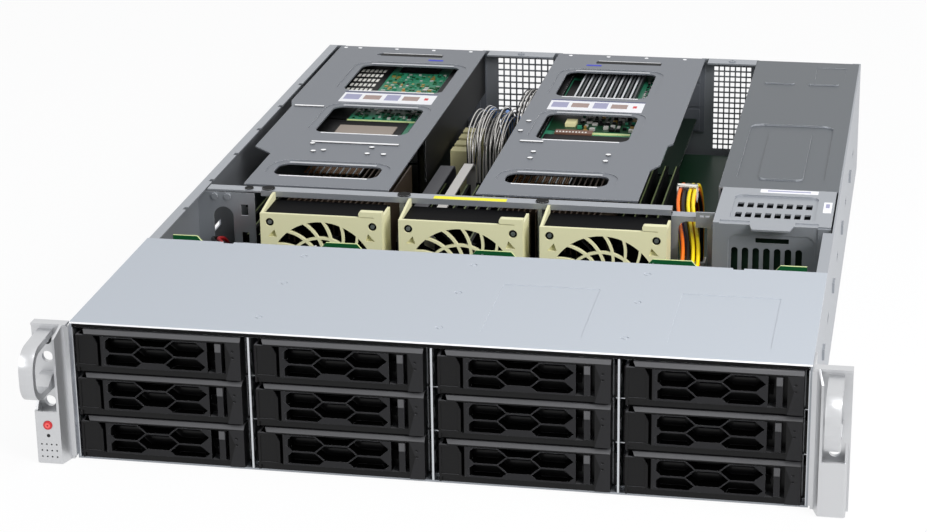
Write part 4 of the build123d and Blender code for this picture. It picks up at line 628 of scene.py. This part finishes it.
def labels():
    """A painted highlight along the cover's front edge, the risers' marks and painted highlights at their
    windows, and the labels on the bar and guard.
    """
    top = deck / mm
    high = top + skin / mm
    over = high + skin / mm
    cover_low, cover_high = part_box("front_cover")
    # A near-white strip along the cover's top front edge: a painted highlight.
    line_low = (cover_low.x, cover_low.y - 0.2 * mm, cover_high.z - 1.0 * mm)
    line_high = (cover_high.x, cover_low.y, cover_high.z)
    block_piece("cover_front_highlight", [(line_low, line_high, highlight_white)], "chassis")
    riser_label("riser_left", (-172, -99, 484, 511))
    riser_label("riser_right", (-10, 62, 485, 512))
    riser_marks("riser_left", (-168, -119, 626.7), (-127, 609), (-203, -191, -160, -129, -98))
    riser_marks("riser_right", (10, 60, 626.7), (2, 612), (-15, 16, 47, 78))
    window_lip_highlights("riser_left", ((-177, -97.5, 517.6, 595.2), (-171.5, -101.5, 403.9, 474.5),
                               (-175.5, -100.5, 299.1, 327.4)))
    window_lip_highlights("riser_right", ((-10.3, 60.8, 523.8, 597.0), (-7.3, 61.3, 410.0, 478.4),
                                (-12.0, 60.0, 304.3, 329.5)))
    blocks = [slab((-52, -2, 262.0, 267.5), top, high, strip_yellow),
              slab((165, 204, 307.5, 314.5), top, high, label_white),
              slab((170, 199, 310.0, 312.0), high, over, label_lilac),
              slab((209.0, 214.5, 270, 292), top, high, label_white),
              slab((210.5, 213, 280, 288), high, over, label_lilac)]
    block_piece("chassis_labels", blocks, "chassis")


def fan_screws():
    """The four screws in each guard: a dark seat with a bright head."""
    screw_reach = 35.4 * mm
    axis_height = 40 * mm
    guard_face = 1.2 * mm
    facing = (0, -1, 0)
    for index in (1, 2, 3):
        low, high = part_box(f"fan_module_{index}")
        middle = Vector(((low.x + high.x) / 2, low.y + guard_face, low.z + axis_height))
        discs = []
        for sx in (-1, 1):
            for sz in (-1, 1):
                centre = middle + Vector((sx * screw_reach, 0, sz * screw_reach))
                discs.append((centre, facing, 2.7 * mm, 0.3 * mm, rubber_black))
                discs.append((centre, facing, 1.4 * mm, 0.9 * mm, bright_steel))
        disc_piece(f"fan_screws_{index}", discs, f"fan_module_{index}")


def ear_details():
    """The screw inside each handle, and the raised ring and dot on the power button."""
    facing = (0, -1, 0)
    discs = []
    for x in (-231.6, 231.6):
        discs.append((spot(x, -3.0, 77.0), facing, 2.4 * mm, 1.2 * mm, dark_steel))
        discs.append((spot(x, -4.2, 77.0), facing, 1.1 * mm, 0.4 * mm, bright_steel))
    disc_piece("ear_screws", discs, "chassis")
    low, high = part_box("power_button")
    centre = Vector(((low.x + high.x) / 2, low.y, (low.z + high.z) / 2))
    discs = [(centre, facing, 1.7 * mm, 0.12 * mm, red_light),
             (centre, facing, 0.45 * mm, 0.2 * mm, wire_wine)]
    disc_piece("power_button_ring", discs, "power_button")


# Contents of the risers' windows
def strewn_parts(name, body, area, top, count, choices, heights, fill):
    """Small parts on a card, strewn in rows that don't overlap."""
    x0, x1, y0, y1 = area
    blocks = []
    rows = max(2, round(count * (y1 - y0) / (x1 - x0)))
    smallest = 0.35
    largest = 0.85
    cell_x = (x1 - x0) / count
    cell_y = (y1 - y0) / rows
    for column in range(count):
        for row in range(rows):
            if random.random() > fill:
                continue
            width = cell_x * random.uniform(smallest, largest)
            depth = cell_y * random.uniform(smallest, largest)
            left = x0 + column * cell_x
            near = y0 + row * cell_y
            height = random.choice(heights)
            blocks.append(slab((left, left + width, near, near + depth), top, top + height,
                               random.choice(choices)))
    block_piece(name, blocks, body)


def fins(name, body, area, low, high, count, finishes):
    """Upright fins side by side, whose materials take turns."""
    x0, x1, y0, y1 = area
    pitch = (x1 - x0) / count
    share = 0.45
    blocks = [slab((x0 + index * pitch, x0 + (index + share) * pitch, y0, y1), low, high,
                   finishes[index % len(finishes)]) for index in range(count)]
    block_piece(name, blocks, body)


def plate_piece(name, body, plates):
    """Flat blocks on a card: an area, the lowest and highest z, and a material for each."""
    block_piece(name, [slab(*plate) for plate in plates], body)


def dot_grid(name, body, area, top, pitch, size, made):
    """A grid of small dots, with a pitch and a size across and along."""
    x0, x1, y0, y1 = area
    height = 0.2
    across = int((x1 - x0) / pitch[0])
    along = int((y1 - y0) / pitch[1])
    places = [(x0 + column * pitch[0], y0 + row * pitch[1])
              for column in range(across) for row in range(along)]
    blocks = [slab((x, x + size[0], y, y + size[1]), top, top + height, made) for x, y in places]
    block_piece(name, blocks, body)


def memory_lines():
    """The thin bare edge along the top of each memory module."""
    pitch = 8.2
    length = 133.4
    top = 45.8
    height = 0.25
    # Four left of the left sink, eight between the sinks and four right of the right one
    places = [(-165 - pitch * (index + 1), 286) for index in range(4)]
    places += [(-54 + pitch * (index - 3.5), 286) for index in range(8)]
    places += [(57 + pitch * (index + 1), 352) for index in range(4)]
    blocks = [slab((x - 1.2, x - 0.3, y, y + length), top, top + height, memory_edge) for x, y in places]
    block_piece("memory_lines", blocks, "chassis")


def window_contents():
    """The cards seen through the risers' windows, and the fin tips under the front ones."""
    top = 77.42
    plate = 78.0
    plate_piece("left_card_plates", "riser_left", (
        ((-196, -112, 404, 464), top, plate, socket_black),
        ((-196, -106.5, 465.5, 468), top, plate, board_edge),
        ((-162, -118, 424, 450), plate, plate + 0.8, socket_taupe),
        ((-196, -161, 464, 504), top, plate, socket_black),
        ((-184, -156, 540, 628), top, plate, socket_black),
        ((-150, -118, 604, 628), top, plate, socket_black)))
    dot_grid("left_card_dots", "riser_left", (-181, -158, 545, 628), plate, (3.6, 14.0), (2.2, 7.5),
             socket_white)
    strewn_parts("left_card_front", "riser_left", (-158, -108, 472, 503), top, 13,
                 (wire_silver, board_green, board_green, socket_black, backplane_green), (0.4, 0.8, 1.2), 0.7)
    strewn_parts("left_card_parts", "riser_left", (-153, -108, 532, 602), top, 11,
                 (card_green, card_green, backplane_green, gold, wire_silver, board_green),
                 (0.4, 0.8, 1.2), 0.75)
    board = plate - 0.2
    plate_piece("right_card_plates", "riser_right", (
        ((-6, 84, 410, 451), top, plate, socket_black),
        ((1, 29, 452, 461), top, 79.0, strip_brown),
        ((29, 57, 455, 459), top, plate, board_edge),
        ((-6, 84, 462, 503), top, board, board_green),
        ((6, 14, 472, 484), board, 80.5, socket_cream),
        ((-6, 2, 522, 600), top, plate, socket_black)))
    dot_grid("right_card_dashes", "riser_right", (2, 28, 454, 459), 79.0, (2.4, 4.0), (1.2, 2.4),
             socket_white)
    strewn_parts("right_card_front", "riser_right", (16, 60, 463, 503), board, 9,
                 (socket_black, socket_black, gold, card_green, wire_silver), (0.6, 1.2, 2.0), 0.75)
    # Every other fin is dark steel: painted shade between the bright fins.
    fins("right_card_fins", "riser_right", (3, 52, 530, 628), top, 83.0, 16, (bright_steel, dark_steel))
    strewn_parts("right_card_edge", "riser_right", (54, 62, 530, 610), top, 3,
                 (card_green, wire_silver, socket_black), (0.6, 1.0), 0.8)
    for name, x0 in (("left_copper", -168), ("right_copper", -15)):
        fins(name, "chassis", (x0, x0 + 42, 362, 376), 68.0, 69.0, 26, (copper, bright_steel, copper))


dress_carriers()
dress_chassis()
dress_fans()
dress_boards()
dress_risers()
harness()
ribbon_piece("dark_ribbon", dark_band, 56.0, wire_grey)
ribbon_piece("light_ribbon", light_band, 60.0, wire_silver)
plugs()
labels()
fan_screws()
ear_details()
memory_lines()
window_contents()


# Floor, light and camera
def seen_directly(tree):
    """One where the camera sees the surface directly, in a mirror or through glass, and zero elsewhere."""
    path = tree.nodes.new("ShaderNodeLightPath")
    first = tree.nodes.new("ShaderNodeMath")
    first.operation = "MAXIMUM"
    second = tree.nodes.new("ShaderNodeMath")
    second.operation = "MAXIMUM"
    tree.links.new(path.outputs["Is Camera Ray"], first.inputs[0])
    tree.links.new(path.outputs["Is Glossy Ray"], first.inputs[1])
    tree.links.new(first.outputs["Value"], second.inputs[0])
    tree.links.new(path.outputs["Is Transmission Ray"], second.inputs[1])
    return second.outputs["Value"]


def stage_floor():
    """A wide floor that the camera sees as nearly white, with the object's shadow on it."""
    seen_share = 0.93
    bpy.ops.mesh.primitive_plane_add(size=14, location=(0, 0, 0))
    floor = bpy.context.object
    floor.name = "floor"
    made = bpy.data.materials.new("floor_white")
    made.use_nodes = True
    tree = made.node_tree
    shader = tree.nodes["Principled BSDF"]
    shader.inputs["Base Color"].default_value = (0.82, 0.82, 0.83, 1)
    shader.inputs["Roughness"].default_value = 0.9
    glow = tree.nodes.new("ShaderNodeEmission")
    glow.inputs["Strength"].default_value = 1.0
    mix = tree.nodes.new("ShaderNodeMixShader")
    share = tree.nodes.new("ShaderNodeMath")
    share.operation = "MULTIPLY"
    share.inputs[1].default_value = seen_share
    tree.links.new(seen_directly(tree), share.inputs[0])
    tree.links.new(share.outputs["Value"], mix.inputs["Fac"])
    tree.links.new(shader.outputs["BSDF"], mix.inputs[1])
    tree.links.new(glow.outputs["Emission"], mix.inputs[2])
    tree.links.new(mix.outputs["Shader"], tree.nodes["Material Output"].inputs["Surface"])
    floor.data.materials.append(made)


def light_world():
    """A dim bluish surround that looks white."""
    world = bpy.data.worlds.new("studio")
    bpy.context.scene.world = world
    world.use_nodes = True
    tree = world.node_tree
    plain = tree.nodes["Background"]
    plain.inputs["Color"].default_value = (0.93, 0.96, 1.0, 1)
    plain.inputs["Strength"].default_value = 0.35
    seen = tree.nodes.new("ShaderNodeBackground")
    seen.inputs["Color"].default_value = (1, 1, 1, 1)
    seen.inputs["Strength"].default_value = 1.0
    mix = tree.nodes.new("ShaderNodeMixShader")
    tree.links.new(seen_directly(tree), mix.inputs["Fac"])
    tree.links.new(plain.outputs["Background"], mix.inputs[1])
    tree.links.new(seen.outputs["Background"], mix.inputs[2])
    tree.links.new(mix.outputs["Shader"], tree.nodes["World Output"].inputs["Surface"])


def soft_light(name, place, aim, size, power):
    """A rectangular lamp at a place in metres, turned to another."""
    lamp = bpy.data.lights.new(name, "AREA")
    lamp.shape = "RECTANGLE"
    lamp.size = size[0]
    lamp.size_y = size[1]
    lamp.energy = power
    holder = bpy.data.objects.new(name, lamp)
    bpy.context.collection.objects.link(holder)
    holder.location = place
    holder.rotation_euler = (Vector(aim) - Vector(place)).to_track_quat("-Z", "Y").to_euler()
    return holder


def photo_camera():
    """The camera that took the photograph, solved from edges whose real places are known."""
    lens = bpy.data.cameras.new("camera")
    lens.lens = 96.68
    lens.sensor_width = 36
    lens.clip_end = 50
    holder = bpy.data.objects.new("camera", lens)
    bpy.context.collection.objects.link(holder)
    right = Vector((0.98191, 0.18885, -0.01382))
    up = Vector((-0.05147, 0.33645, 0.94031))
    back = Vector((0.18222, -0.92258, 0.34008))
    turn = Matrix((right, up, back)).transposed().to_4x4()
    holder.matrix_world = Matrix.Translation((0.27752, -1.62811, 0.61677)) @ turn
    bpy.context.scene.camera = holder


stage_floor()
light_world()
key = soft_light("key", (1.3, -1.1, 1.0), (0.15, -0.25, 0), (0.8, 0.8), 32)
# The sheets would mirror this lamp as a white glare when seen from behind
key.visible_glossy = False
soft_light("fill", (-1.6, -1.5, 1.1), (0, 0, 0), (1.2, 1.2), 10)
soft_light("top", (0.8, -0.5, 2.2), (0, 0, 0), (1.4, 1.0), 20)
photo_camera()
bpy.context.scene.view_settings.view_transform = "Standard"
